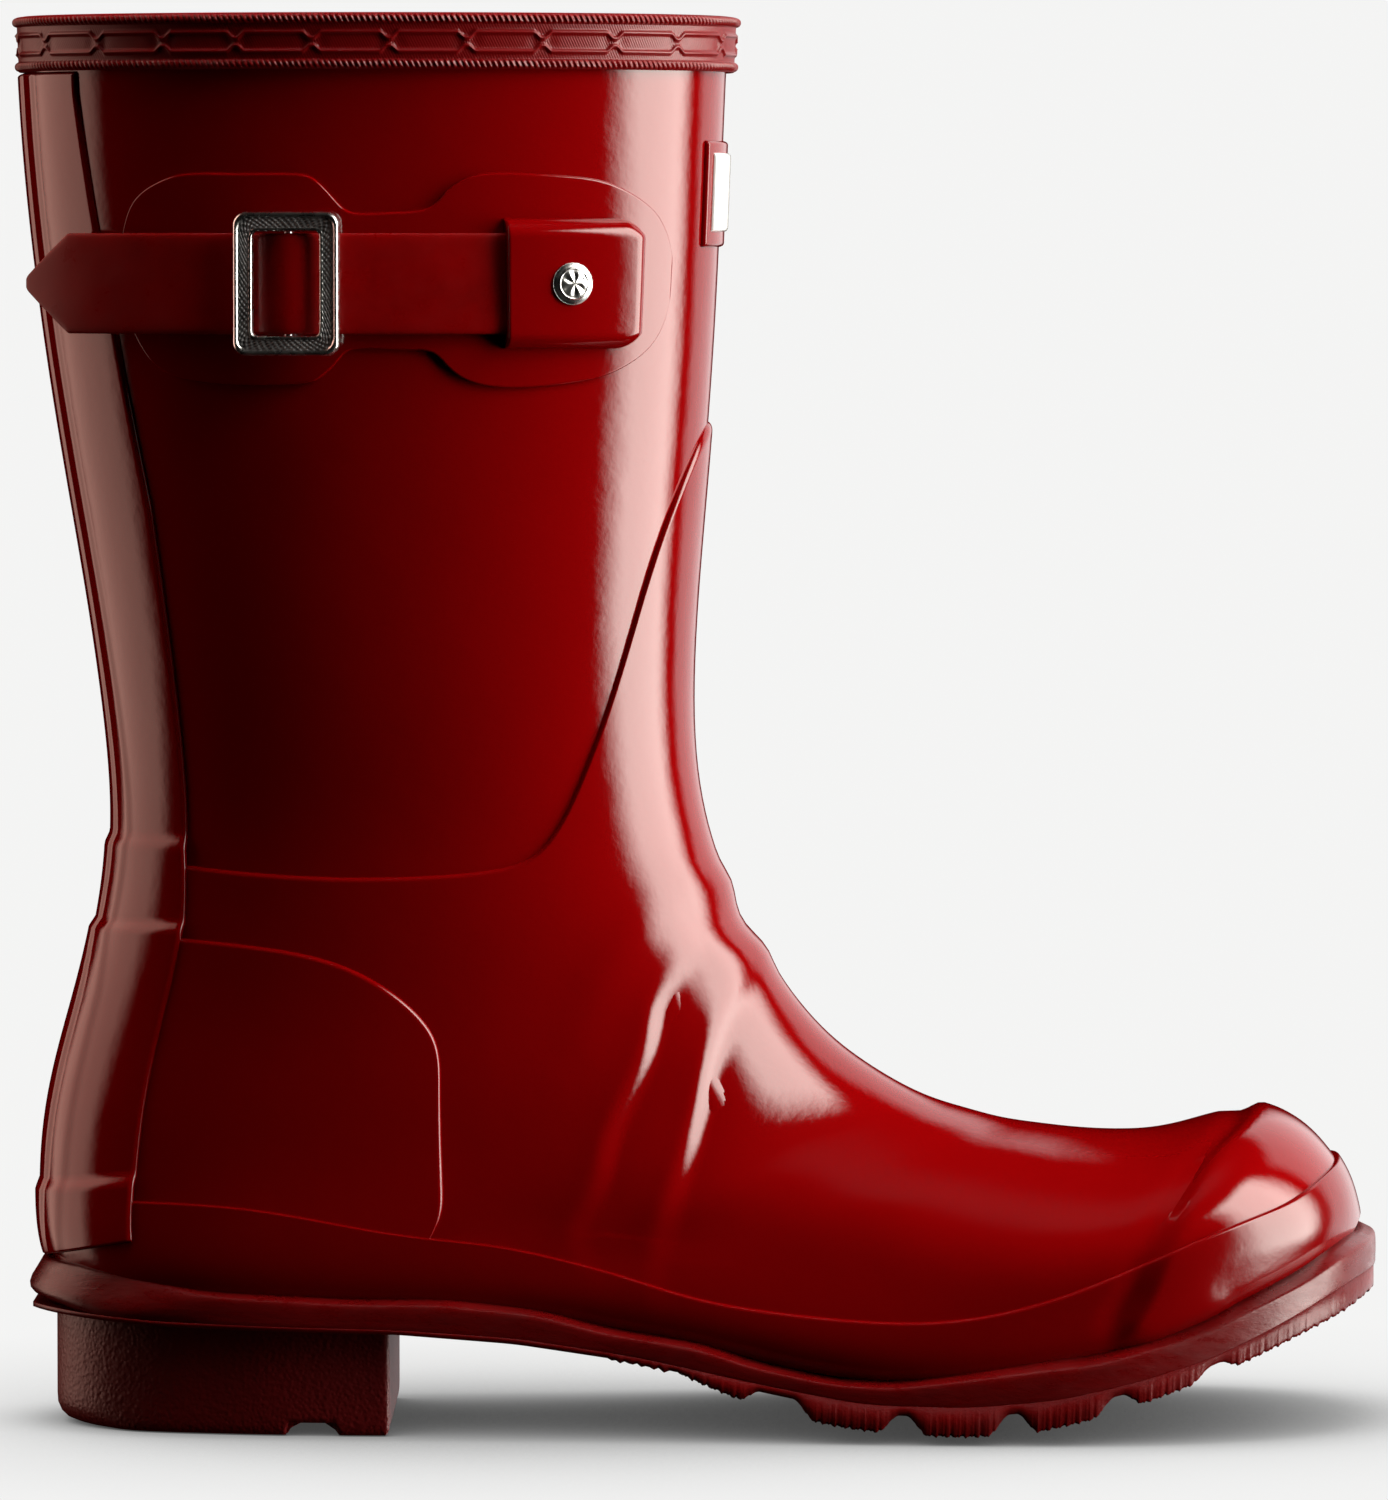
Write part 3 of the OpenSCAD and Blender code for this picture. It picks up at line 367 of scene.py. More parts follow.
def node(nt, kind, **values):
    n = nt.nodes.new(kind)
    for k, val in values.items():
        if k in n.inputs:
            n.inputs[k].default_value = val
        else:
            setattr(n, k, val)
    return n


def coordinates(nt):
    return node(nt, "ShaderNodeTexCoord").outputs["Object"]


def noise(nt, scale, detail=2.0, roughness=0.5, stretch=None):
    n = node(nt, "ShaderNodeTexNoise", Scale=scale, Detail=detail, Roughness=roughness)
    where = coordinates(nt)
    if stretch:
        m = node(nt, "ShaderNodeMapping", Scale=stretch)
        nt.links.new(where, m.inputs["Vector"])
        where = m.outputs[0]
    nt.links.new(where, n.inputs["Vector"])
    return n.outputs["Fac"]


def ramp(nt, source, stops):
    r = nt.nodes.new("ShaderNodeValToRGB")
    el = r.color_ramp.elements
    while len(el) > 1:
        el.remove(el[-1])
    el[0].position, el[0].color = stops[0]
    for place, colour in stops[1:]:
        e = el.new(place)
        e.color = colour
    nt.links.new(source, r.inputs[0])
    return r.outputs[0]


def bump(nt, p, sources):
    """Chained bumps from (height, distance in mm, strength)."""
    last = None
    for height, distance, strength in sources:
        b = node(nt, "ShaderNodeBump", Distance=distance * 0.001, Strength=strength)
        nt.links.new(height, b.inputs["Height"])
        if last:
            nt.links.new(last, b.inputs["Normal"])
        last = b.outputs[0]
    nt.links.new(last, p.inputs["Normal"])


def rgba(r, g, b):
    return (r, g, b, 1.0)


def mottled(nt, p, colour, low, pattern, start, end):
    """A base colour that drifts between low times the colour and the colour itself."""
    stops = [(start, rgba(*[c * low for c in colour])), (end, rgba(*colour))]
    nt.links.new(ramp(nt, pattern, stops), p.inputs["Base Color"])


def uneven_gloss(nt, p, pattern, low, high, end):
    """A roughness that drifts between low and high."""
    drift = ramp(nt, pattern, [(0.3, rgba(low, 0, 0)), (end, rgba(high, 0, 0))])
    sep = node(nt, "ShaderNodeSeparateColor")
    nt.links.new(drift, sep.inputs[0])
    nt.links.new(sep.outputs[0], p.inputs["Roughness"])


def lacquer(name, colour, rough=0.075, peel=0.10, spec=0.5):
    """Glossy rubber; peel is how wavy its lacquer is."""
    m, nt, p = new_material(name)
    mottled(nt, p, colour, .86, noise(nt, 18, 3), .25, .8)
    p.inputs["Roughness"].default_value = rough
    p.inputs["IOR"].default_value = 1.5
    p.inputs["Specular IOR Level"].default_value = spec
    bump(nt, p, [(noise(nt, 90, 2), 1.0, peel), (noise(nt, 700, 2), 0.15, 0.12)])
    return m


def rubber(name, colour, rough, grain, streak=None, spec=0.5):
    """Dull rubber; each grain is its scale, depth in mm and strength, and streak stretches the pattern."""
    m, nt, p = new_material(name)
    mottled(nt, p, colour, .7, noise(nt, 60, 4, .6, streak), .3, .72)
    uneven_gloss(nt, p, noise(nt, 140, 4, .65, streak), rough - .08, rough + .1, .75)
    p.inputs["Specular IOR Level"].default_value = spec
    bump(nt, p, [(noise(nt, s, 3, .6, streak), d, k) for s, d, k in grain])
    return m


def leather_grain(name, colour):
    """Rubber moulded with a pebbled leather grain."""
    m, nt, p = new_material(name)
    vor = node(nt, "ShaderNodeTexVoronoi", Scale=1250.0)
    vor.feature = "SMOOTH_F1"
    nt.links.new(coordinates(nt), vor.inputs["Vector"])
    mottled(nt, p, colour, .75, noise(nt, 45, 4, .6), .3, .75)
    p.inputs["Roughness"].default_value = 0.42
    p.inputs["Specular IOR Level"].default_value = 0.36
    bump(nt, p, [(vor.outputs["Distance"], .2, .75), (noise(nt, 1900, 3), .07, .5)])
    return m


def textile(name, colour, pitch=1.1):
    """A knit; pitch is the size of its loops in mm."""
    m, nt, p = new_material(name)
    mottled(nt, p, colour, .8, noise(nt, 160, 5, .6), .3, .7)
    p.inputs["Roughness"].default_value = 0.92
    p.inputs["Sheen Weight"].default_value = 0.25
    vor = node(nt, "ShaderNodeTexVoronoi", Scale=1000 / pitch)
    nt.links.new(coordinates(nt), vor.inputs["Vector"])
    bump(nt, p, [(vor.outputs["Distance"], .35, .7), (noise(nt, 2600, 3), .12, .6)])
    return m


def metal(name, colour, rough, grain=0.0):
    m, nt, p = new_material(name)
    p.inputs["Base Color"].default_value = rgba(*colour)
    p.inputs["Metallic"].default_value = 1.0
    uneven_gloss(nt, p, noise(nt, 300, 3), rough * .8, rough * 1.25, .7)
    if grain:
        bump(nt, p, [(noise(nt, 1800, 3), .08, grain)])
    return m


RED = (0.175, 0.0003, 0.0007)
M = {
    "gloss": lacquer("gloss_rubber", RED),
    "band": lacquer("band_rubber", (0.15, 0.0003, 0.0007), rough=.12),
    "binding": lacquer("binding_rubber", (0.15, 0.0004, 0.0009), rough=.30, peel=.05, spec=.38),
    "strap": rubber("strap_rubber", (0.210, 0.0003, 0.0006), .32, ((900, .05, .3),), spec=.16),
    "side": rubber("sidewall_rubber", (0.105, 0.0006, 0.0009), .30, ((420, .16, .45), (1500, .06, .4)),
                   streak=(1, 1, 3), spec=.42),
    "sole": rubber("sole_rubber", (0.105, 0.0006, 0.0009), .34, ((520, .2, .5), (1700, .08, .4)), spec=.34),
    "heel": leather_grain("heel_rubber", (0.105, 0.0008, 0.0012)),
    "lining": textile("lining_textile", (0.40, 0.36, 0.31)),
    "cover": textile("footbed_textile", (0.16, 0.145, 0.13), 1.4),
    "foam": rubber("footbed_foam", (0.02, 0.02, 0.022), .9, ((2400, .3, .6),)),
    "board": rubber("stiffener_board", (0.42, 0.30, 0.17), .85, ((1500, .2, .5),)),
    "steel": metal("plain_steel", (0.60, 0.60, 0.62), .28, .2),
    "chrome": metal("polished_metal", (0.86, 0.85, 0.83), .26),
    "gun": metal("gunmetal_face", (0.30, 0.29, 0.29), .5, .8),
    "white": lacquer("label_white", (0.78, 0.77, 0.76), peel=.03),
}
CAD_MATERIAL = {"gloss_rubber": "gloss", "strap_rubber": "strap", "sidewall_rubber": "side",
                 "sole_rubber": "sole", "heel_rubber": "heel", "lining_textile": "lining",
                 "footbed_textile": "cover", "footbed_foam": "foam", "stiffener_board": "board",
                 "steel": "steel", "buckle_metal": "gun", "chrome": "chrome", "label_white": "white"}
for part in frame["record"]["subparts"]:
    o = frame["nodes"][part["node"]]
    o.data.materials.clear()
    o.data.materials.append(M[CAD_MATERIAL[part["material_slot"]]])


def stands_for(o, slot_name, *nodes, body="boot"):
    """Let a piece ride on its body in place of CAD nodes."""
    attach(o, body)
    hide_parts(*nodes)
    return o


# ---------------------------------------------------------------- the leg shell and the lining
def sock(name, d_out, d_in, material, around):
    """A closed sock between the heights d_out and d_in, open at the top, with one point at each toe tip."""
    v = np.concatenate([np.linspace(0, 8, 60)[:-1], np.linspace(8, LAST - .6, 90)[:-1],
                        LAST - .6 + .6 * np.array([0, .35, .65, .85])])[:, None]
    u = np.arange(around)[None] * 360 / around
    outer, inner = layer(u, v, d_out), layer(u, v, d_in)
    tip_out = skin(0, LAST) + [d_out, 0, 0]
    tip_in = skin(0, LAST) + [d_in, 0, 0]
    nr = len(v)
    a = np.arange(nr * around).reshape(nr, around)
    b = a + nr * around
    t_out, t_in = 2 * nr * around, 2 * nr * around + 1
    faces = clean(grid_quads(a, False, True)) + clean(grid_quads(b, False, True), True)
    faces += clean(grid_quads(np.vstack([b[:1], a[:1]]), False, True))
    nxt = np.roll(a[-1], -1)
    faces += [[int(p), int(q), t_out] for p, q in zip(a[-1], nxt)]
    faces += [[int(q) + nr * around, int(p) + nr * around, t_in] for p, q in zip(a[-1], nxt)]
    points = np.vstack([outer.reshape(-1, 3), inner.reshape(-1, 3), [tip_out, tip_in]])
    return make(name, points, faces, material)


stands_for(sock("visual_leg_shell", 0, -1.8, M["gloss"], 220), "gloss_rubber", "leg_shell")
stands_for(sock("visual_lining", -3.0, -4.0, M["lining"], 160), "lining_textile", "lining")

# ---------------------------------------------------------------- rubber overlays
VAMP_TOP = [[0, 3.3], [16, 3.5], [30, 4.2], [40, 5.2], [51, 6.3], [62, 7.25], [75, 7.6], [100, 7.6],
            [126, 7.45], [150, 7.3], [180, 7.2]]
VAMP_FOOT = [[0, 28.3], [60, 28], [95, 27.2], [108, 25.8], [114, 24], [120, 22], [131, 20], [132, 17.8],
             [129, 15.8], [140, 13.2], [180, 12.7]]
stands_for(wrapped_band("visual_vamp", VAMP_TOP, VAMP_FOOT, M["gloss"], 1.0, -0.3, 420, 130),
           "gloss_rubber", "vamp_overlay")

COUNTER_TOP = [[126, 15.6], [104, 13.9], [94, 12.7], [89, 11], [89, 9.9], [100, 8.95], [120, 8.45],
               [150, 8.25], [180, 8.25]]
COUNTER_FOOT = [[131, 16.2], [129, 15.8], [129, 15.4], [130, 14.8], [132, 14.2], [136, 13.5], [142, 13],
                [158, 12.7], [180, 12.6]]


def mirrored_open(rows):
    """A route through [u, v] rows that end at back centre, and on through their mirror image."""
    half = np.array(rows, float)
    back = half[-2::-1].copy()
    back[:, 0] = 360 - back[:, 0]
    return open_route(np.vstack([half, back]))


def patch(name, top, foot, material, d_out, d_in, columns, middle, radius=0.85):
    """A closed rubber layer between two open routes with rounded edges all round."""
    t = np.linspace(0, 1, 400)
    a, b = top(t), foot(t)
    mid = (a + b) / 2
    run = distances(skin(mid[:, 0], mid[:, 1]))
    side = spaced(np.array([run[-1]]), columns)[:, 0]
    t = np.interp(side * run[-1], run, t)
    a, b = top(t), foot(t)
    length = np.maximum(lengths(a, b), 0.6)
    f = spaced(length, middle)
    u, v = between(a, b, f)
    share = edge_profile(np.minimum(f, 1 - f) * length, radius)
    share = share * edge_profile(np.minimum(side, 1 - side) * run[-1], radius)[None]
    low = np.full_like(u, d_in)
    return pillow(name, u, v, low + (d_out - low) * share, low, material)


stands_for(patch("visual_counter", mirrored_open(COUNTER_TOP), mirrored_open(COUNTER_FOOT), M["gloss"],
                 2.0, 0.4, 300, 90), "gloss_rubber", "heel_counter")

FOXING_TOP = [[0, 26.1], [30, 25.9], [56, 25], [66, 23.9], [73, 22.3], [84, 21], [99, 19.7], [110, 18.4],
              [111, 17.2], [103, 15.4], [103, 13.7], [119, 12.35], [150, 11.85], [180, 11.75]]
FOXING_FOOT = [[0, 28.4], [60, 28.1], [98, 27.4], [110, 26.2], [115, 24.6], [119, 22.6], [127, 20.8],
               [133, 19], [133, 17.6], [129, 15.9], [133, 14.1], [142, 13.05], [160, 12.7], [180, 12.65]]


def foxing_height(q):
    """Higher at the back, where it lies over the counter."""
    return 2.0 + 0.9 * step(np.where(q > 1, 2 - q, q), .66, .78)


stands_for(wrapped_band("visual_foxing", FOXING_TOP, FOXING_FOOT, M["band"], foxing_height, 0.4, 520, 30),
           "gloss_rubber", "foxing_band")

# Rows of v and: the u of the back strip's edge, its rise over the layers under it, its rib's half width.
STRIP_EDGE = np.array([[0.7, 145], [2.5, 140], [4, 137], [7, 137], [8.2, 135], [10, 136], [12.7, 137]])
STRIP_RISE = np.array([[0.4, 0], [7.02, 0], [7.16, 1], [8.08, 1], [8.22, 1.95], [11.6, 1.95], [11.75, 2.85],
                       [12.8, 2.85]])
STRIP_RIB = np.array([[0.7, 8.2], [2, 8], [7.2, 7.6], [8.2, 6.4], [9, 8], [12.7, 10]])


def strip():
    """The back strip: a wide raised centre rib on a low step, over the vamp and the counter."""
    v = spaced(np.array([250.]), 230)[:, 0] * 12.06 + 0.49
    half = 180 - np.interp(v, *STRIP_EDGE.T)
    width = half * 0.92                                         # degrees to mm at the back of the leg
    side = spaced(2 * width, 90).T
    u = 180 + half[:, None] * (2 * side - 1)
    v = np.repeat(v[:, None], u.shape[1], 1)
    rise = np.interp(v, *STRIP_RISE.T)
    rib = np.interp(v, *STRIP_RIB.T)
    across = np.abs(skin(u, v)[..., 1] - MID_Y)
    high = 1.0 + rise + 0.55 * (1 - step(across, rib - .5, rib + 1.0))
    high = high + 0.35 * (1 - step(across, rib + 5.3, rib + 7.0))
    low = rise - 0.3
    share = edge_profile(np.minimum(side, 1 - side) * 2 * width[:, None], 0.9)
    ends = edge_profile(np.minimum(v - v.min(), v.max() - v) * 20, 0.8)
    return pillow("visual_back_strip", u, v, low + (high - low) * share * ends, low, M["gloss"])


stands_for(strip(), "gloss_rubber", "back_strip")

# ---------------------------------------------------------------- strap patch and pocket, label
PATCH_TOP = [[33, 2.12], [34, 1.9], [37, 1.7], [41, 1.57], [47, 1.45], [54, 1.38], [64, 1.35], [71, 1.35],
             [75, 1.4], [78, 1.5], [81, 1.62], [87, 1.65], [93, 1.65], [96, 1.55], [99, 1.4], [103, 1.35],
             [112, 1.35], [121, 1.35], [127, 1.42], [132, 1.56], [135, 1.8], [137, 2.1]]
PATCH_LOW = [[33, 2.18], [34, 2.4], [36, 2.58], [40, 2.74], [46, 2.87], [53, 2.95], [64, 3], [71, 2.99],
             [75, 2.94], [78, 2.84], [81, 2.72], [87, 2.7], [94, 2.7], [97, 2.8], [100, 2.92], [104, 2.97],
             [114, 2.98], [123, 2.95], [129, 2.88], [133, 2.72], [136, 2.44], [137, 2.14]]
stands_for(patch("visual_strap_patch", open_route(PATCH_TOP), open_route(PATCH_LOW), M["gloss"], 1.25, -0.3,
                 240, 70, radius=.5), "gloss_rubber", "strap_patch")

STRAP_Z = (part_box("strap")[0].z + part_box("strap")[1].z) / 2 / MM
STRAP_V = 1 + (RINGS[1, 1] - STRAP_Z) / (RINGS[1, 1] - RINGS[2, 1])


def pocket():
    """The domed cap: rounded corners in front, soft sides, and a crisp step down to the strap behind."""
    long, high, corner = 29.0, 25.8, 5.6
    gu, gv = np.meshgrid(spaced(long, 44)[:, 0], spaced(high, 44)[:, 0])
    near = np.clip(corner - gu * long, 0, corner)
    half = high / 2 - (corner - np.sqrt(corner ** 2 - near ** 2))
    u = 42 + 26.5 * gu
    v = STRAP_V + (2 * gv - 1) * half / (RINGS[1, 1] - RINGS[2, 1])
    dx, dz = gu * long, np.minimum(gv, 1 - gv) * 2 * half
    soft = edge_profile(np.minimum(dx, dz), 3.4)
    mouth = edge_profile((1 - gu) * long, .5)
    tall = 1.0 + 4.5 * soft * (.55 + .45 * mouth)
    foot = 0.7
    tall = np.where((gu == 0) | (gu == 1) | (gv == 0) | (gv == 1), foot, tall)
    return pillow("visual_strap_pocket", u, v, tall, np.full_like(tall, foot), M["gloss"])


stands_for(pocket(), "gloss_rubber", "strap_pocket")


def label(name, half_u, v0, v1, low, high, material):
    """A small plate on the shin with rounded edges."""
    wide, tall = half_u * 1.6, (v1 - v0) * 22.
    gu, gv = np.meshgrid(spaced(wide, 40)[:, 0], spaced(tall, 30)[:, 0])
    share = edge_profile(np.minimum(gu, 1 - gu) * wide, .7) * edge_profile(np.minimum(gv, 1 - gv) * tall, .7)
    return pillow(name, half_u * (2 * gu - 1), v0 + (v1 - v0) * gv, low + (high - low) * share,
                  np.full_like(gu, low), material)


stands_for(label("visual_label_base", 21, 1.08, 1.92, -.3, 1.0, M["gloss"]), "gloss_rubber", "label_base")
stands_for(label("visual_label_insert", 18, 1.18, 1.8, .8, 1.7, M["white"]), "label_white", "label_insert")


# ---------------------------------------------------------------- top binding with its moulded chain
def binding():
    """The moulded band: a rope bead along each edge and a chain of flat links between them."""
    n, top, tall = 2600, 284.4, 10.9
    u0 = np.linspace(0, 360, 1441)
    run = distances(skin(u0, 0.2))
    total = run[-1]
    s = np.arange(n)[None] / n * total
    u = np.interp(s[0], run, u0)
    ticks = round(total / 1.17)
    links = round(total / 15.4)
    h = np.linspace(0, tall, 62)[:, None]                       # down from the top edge
    phase = s / total

    def rope(mid, half, slope):
        body = np.sqrt(np.clip(1 - ((h - mid) / half) ** 2, 0, 1))
        turn = np.cos(2 * np.pi * (phase * ticks + slope * (h - mid)))
        return body * (0.78 + 0.19 * turn)

    relief = np.maximum(rope(1.0, .95, .42), 0)
    relief = np.maximum(relief, rope(tall - .95, .9, .42) * .85)
    wave = np.abs((phase * links) % 1 - .5) * 2                 # 1 at a node, 0 in a link's middle
    pinch = step(wave, .74, .97)
    below = h - 5.6                                             # from the middle of the chain
    half_gap = 1.9 - 1.15 * pinch
    wire = np.exp(-(np.minimum(np.abs(below - half_gap), np.abs(below + half_gap)) / .42) ** 2)
    relief = np.maximum(relief, .55 * wire)
    cross = np.cos(2 * np.pi * (s / .9 + h / .9)) * np.cos(2 * np.pi * (s / .9 - h / .9))
    relief = relief + .12 * cross * pinch * np.exp(-(below / .8) ** 2)
    relief = relief - .15 * step(wave, .5, .8) * np.exp(-below ** 2) * (1 - pinch)
    hatch = np.cos(2 * np.pi * (s / .56 + h * .9))
    relief = relief + .05 * hatch * (1 - wire)
    ring_fall = RINGS[0, 1] - RINGS[1, 1]
    v = np.clip((TOP_EDGE - (top - h)) / ring_fall, 0, 1)
    face = layer(u[None], np.broadcast_to(v, relief.shape), 1.55 + relief)
    face[..., 2] = top - h
    rows = [face]
    under = [(1.5, tall + .12), (.6, tall + .1), (-.5, tall - .1)]
    inside = [(-4.6, tall - 1.5), (-5.2, tall - 1.7), (-5.4, tall - 2.4), (-5.4, 5), (-5.4, 2.2), (-5.2, .9),
              (-4.6, .15), (-3.6, -.15), (-1.5, -.2), (.4, -.2), (1.2, -.1)]
    for profile, v in ((under, (TOP_EDGE - (top - tall)) / ring_fall), (inside, 0.15)):
        for d, drop in profile:
            row = layer(u, np.full(n, v), d)
            row[..., 2] = top - drop
            rows.append(row[None])
    points = np.vstack(rows)
    index = np.arange(points.shape[0] * n).reshape(-1, n)
    return make("visual_top_binding", points, clean(grid_quads(index, True, True)), M["binding"])


stands_for(binding(), "gloss_rubber", "top_binding")

# ---------------------------------------------------------------- the sole
SOLE_PLAN = np.array([
    [-135, -5, 5], [-134, -11, 11], [-131.5, -16.5, 16.5], [-127, -22.5, 22.5], [-120, -28, 28],
    [-110, -32.5, 32.5], [-98, -35.5, 35.5], [-84, -38, 38], [-68, -39.2, 39.2], [-50, -40, 40],
    [-32, -40.8, 41], [-14, -42.2, 43], [4, -44.2, 45.8], [22, -46.4, 48.6], [40, -48.4, 51.4],
    [56, -49.6, 53.6], [72, -50, 55.2], [86, -49, 55.9], [98, -46.4, 55.5], [108, -42.8, 53.6],
    [117, -38, 50.4], [124, -32.4, 46], [130, -25.2, 40], [134.5, -17, 33], [137.4, -8.5, 24.5],
    [139, 2, 13]])
SEAT = [[-135, 25.2], [-108, 23.4], [-85, 22.9], [-60, 22.4], [-36, 20.9], [-12, 17.4], [12, 12.4], [34, 8.4],
        [54, 7.9], [72, 9.4], [88, 12.9], [102, 16.9], [113, 21.4], [122, 25.6], [128, 28.6], [134, 31],
        [139, 32.5]]
ROOT = [[-135, 23.8], [-108, 22], [-60, 21], [-36, 19.2], [-12, 15.8], [12, 10.4], [34, 6], [54, 5.4],
        [72, 7], [88, 10.6], [102, 14.8], [113, 19.2], [122, 23.4], [128, 26.4], [134, 29], [139, 31]]
TREAD = [[-8, 14.6], [0, 10.6], [10, 6.6], [20, 3.6], [30, 1.6], [42, 0.3], [54, 0], [66, 0.6], [78, 3.2],
         [92, 7.5], [102, 11], [112, 15], [122, 19.2], [132, 23], [139, 26.5]]
WALL_TOP = [[-135, 33.4], [-128, 33.4], [-114, 31.4], [-98, 28.4], [-69, 27], [-50, 27], [-31, 25],
            [-18, 21.6], [1, 18.6], [12, 15], [28, 11.8], [40, 11.3], [53, 12.8], [71, 15.2], [80, 16],
            [93, 19.4], [102, 22], [111, 26], [125, 31.8], [132, 36], [139, 38]]
NOTCHES = [(16.4, 3.2), (41.5, .6), (63.5, .6), (84.5, .6), (104, .6)]     # centre and half width


def smooth_list(rows, x, width=5.0):
    """A height list read at x, with its corners rounded over a few mm."""
    places, heights = np.array(rows, float).T
    offsets = np.linspace(-width, width, 9)
    return sum(np.interp(x + d, places, heights) for d in offsets) / len(offsets)


def even_loop(points, n):
    """n evenly spaced points around a closed line."""
    closed = np.vstack([points, points[:1]])
    run = distances(closed)
    goal = np.arange(n) / n * run[-1]
    return np.column_stack([np.interp(goal, run, closed[:, k]) for k in (0, 1)])


def sole_outline(n=720):
    """Evenly spaced points around the sole's edge, with outward directions. Starts at the back."""
    loop = np.vstack([SOLE_PLAN[:, [0, 1]], SOLE_PLAN[::-1][:, [0, 2]]])
    at = spline(np.vstack([loop[-4:], loop, loop[:4]]))
    t = 4 + np.linspace(0, len(loop), 4000)
    p = at(t)
    run = distances(p)
    t = np.interp(np.arange(n) / n * run[-1], run, t)
    p = at(t)
    tangent = unit(np.roll(p, -1, 0) - np.roll(p, 1, 0))
    return p + [0, MID_Y], np.stack([tangent[:, 1], -tangent[:, 0]], -1)


edge_p, edge_n = sole_outline()
OUTER, INNER = slice(0, len(edge_p) // 2), slice(len(edge_p) // 2, None)     # the outline's two sides


def side_y(outline, half, x):
    """y at x along one side of an outline of the sole."""
    part = outline[half]
    return np.interp(x, *part[np.argsort(part[:, 0])].T)


def sidewall():
    """The band around the sole's edge, with the kick-off lip round the back of the heel."""
    x = edge_p[:, 0]
    low, top = smooth_list(SEAT, x) - 0.6, smooth_list(WALL_TOP, x, 4)
    lip = step(-x, 94, 118)                                     # 1 round the back of the heel
    base_lip = np.interp(x, [-136, -134.7, -127.8, -119.6, -110], [27, 26.5, 25.1, 23, 22.4])
    rows = []
    # Share of the height and place outwards, from the lower edge up: the plain wall and the lipped one.
    plain = [(0, -1.2), (0, -.1), (.06, .0), (.2, .0), (.4, .05), (.6, .05), (.8, .0), (.92, -.1), (.97, -.3),
             (1.02, -.9), (1.12, -2.2), (1.26, -4.6)]
    shaped = [(0, -4.5), (0, -2.8), (.0, -1.6), (.0, -.8), (.12, -.1), (.25, .0), (.4, -.35), (.6, -1.2),
              (.8, -2.0), (.93, -2.5), (1.0, -3.0), (1.04, -5.5)]
    for (a, out_a), (b, out_b) in zip(plain, shaped):
        z = (low + (top - low) * a) * (1 - lip) + (base_lip + (top - base_lip) * b) * lip
        out = out_a * (1 - lip) + out_b * lip
        rows.append(np.column_stack([edge_p + edge_n * out[:, None], z]))
    for z in (top - 1, low + 1):
        rows.append(np.column_stack([edge_p - edge_n * 6, z]))
    points = np.stack(rows)
    index = np.arange(points.shape[0] * points.shape[1]).reshape(points.shape[:2])
    return make("visual_sidewall", points, clean(grid_quads(index, True, True), True), M["side"])


stands_for(sidewall(), "sidewall_rubber", "sidewall_band")


def outsole():
    """The outsole: smooth root, lugs between the notches, fine ribs in front of the heel."""
    xs = np.concatenate([np.linspace(-134, -8, 150), np.linspace(-7.6, 138.2, 620)])
    inside = step(xs, -4, -2)
    for middle, half in NOTCHES:
        inside = np.minimum(inside, step(np.abs(xs - middle), half, half + 4.6))
    rough = 0.45 * np.sin(xs * 3.1) + 0.35 * np.sin(xs * 5.3 + 1) + .25 * np.sin(xs * 9.7 + 2)
    ribs = 0.7 * (np.abs(((xs + 17) / 2.2) % 1 - .5) * 2) * ((xs > -17) & (xs < -5))
    root = smooth_list(ROOT, xs, 3)
    tread = smooth_list(TREAD, xs, 3)
    across = np.concatenate([[0, .004, .012, .03], np.linspace(.06, .94, 41), [.97, .988, .996, 1]])[None]
    y = ((side_y(edge_p, OUTER, xs) + .02)[:, None] * (1 - across)
         + (side_y(edge_p, INNER, xs) - .02)[:, None] * across)
    dome = 1.6 * (2 * across - 1) ** 2
    rounding = 0.6 * (1 - edge_profile(np.minimum(across, 1 - across) * 90, .6))
    low = (root * (1 - inside) + (tread + rough * .35) * inside - ribs)[:, None]
    low = low + dome * inside[:, None] + rounding
    high = (smooth_list(SEAT, xs) - 0.4)[:, None] + 0 * across
    low = np.minimum(np.maximum(low, 0.02), high - 0.3)
    nr, nc = low.shape
    x = np.broadcast_to(xs[:, None], low.shape)
    bottom, roof = np.stack([x, y, low], -1), np.stack([x, y, high], -1)
    a = np.arange(nr * nc).reshape(nr, nc)
    b = a + nr * nc
    faces = clean(grid_quads(a), False) + clean(grid_quads(b), True)
    for first, second in ((a[:, 0], b[:, 0]), (b[:, -1], a[:, -1]), (b[0], a[0]), (a[-1], b[-1])):
        faces += clean(grid_quads(np.stack([first, second])))
    return make("visual_outsole", np.vstack([bottom.reshape(-1, 3), roof.reshape(-1, 3)]), faces, M["sole"])


stands_for(outsole(), "sole_rubber", "outsole")


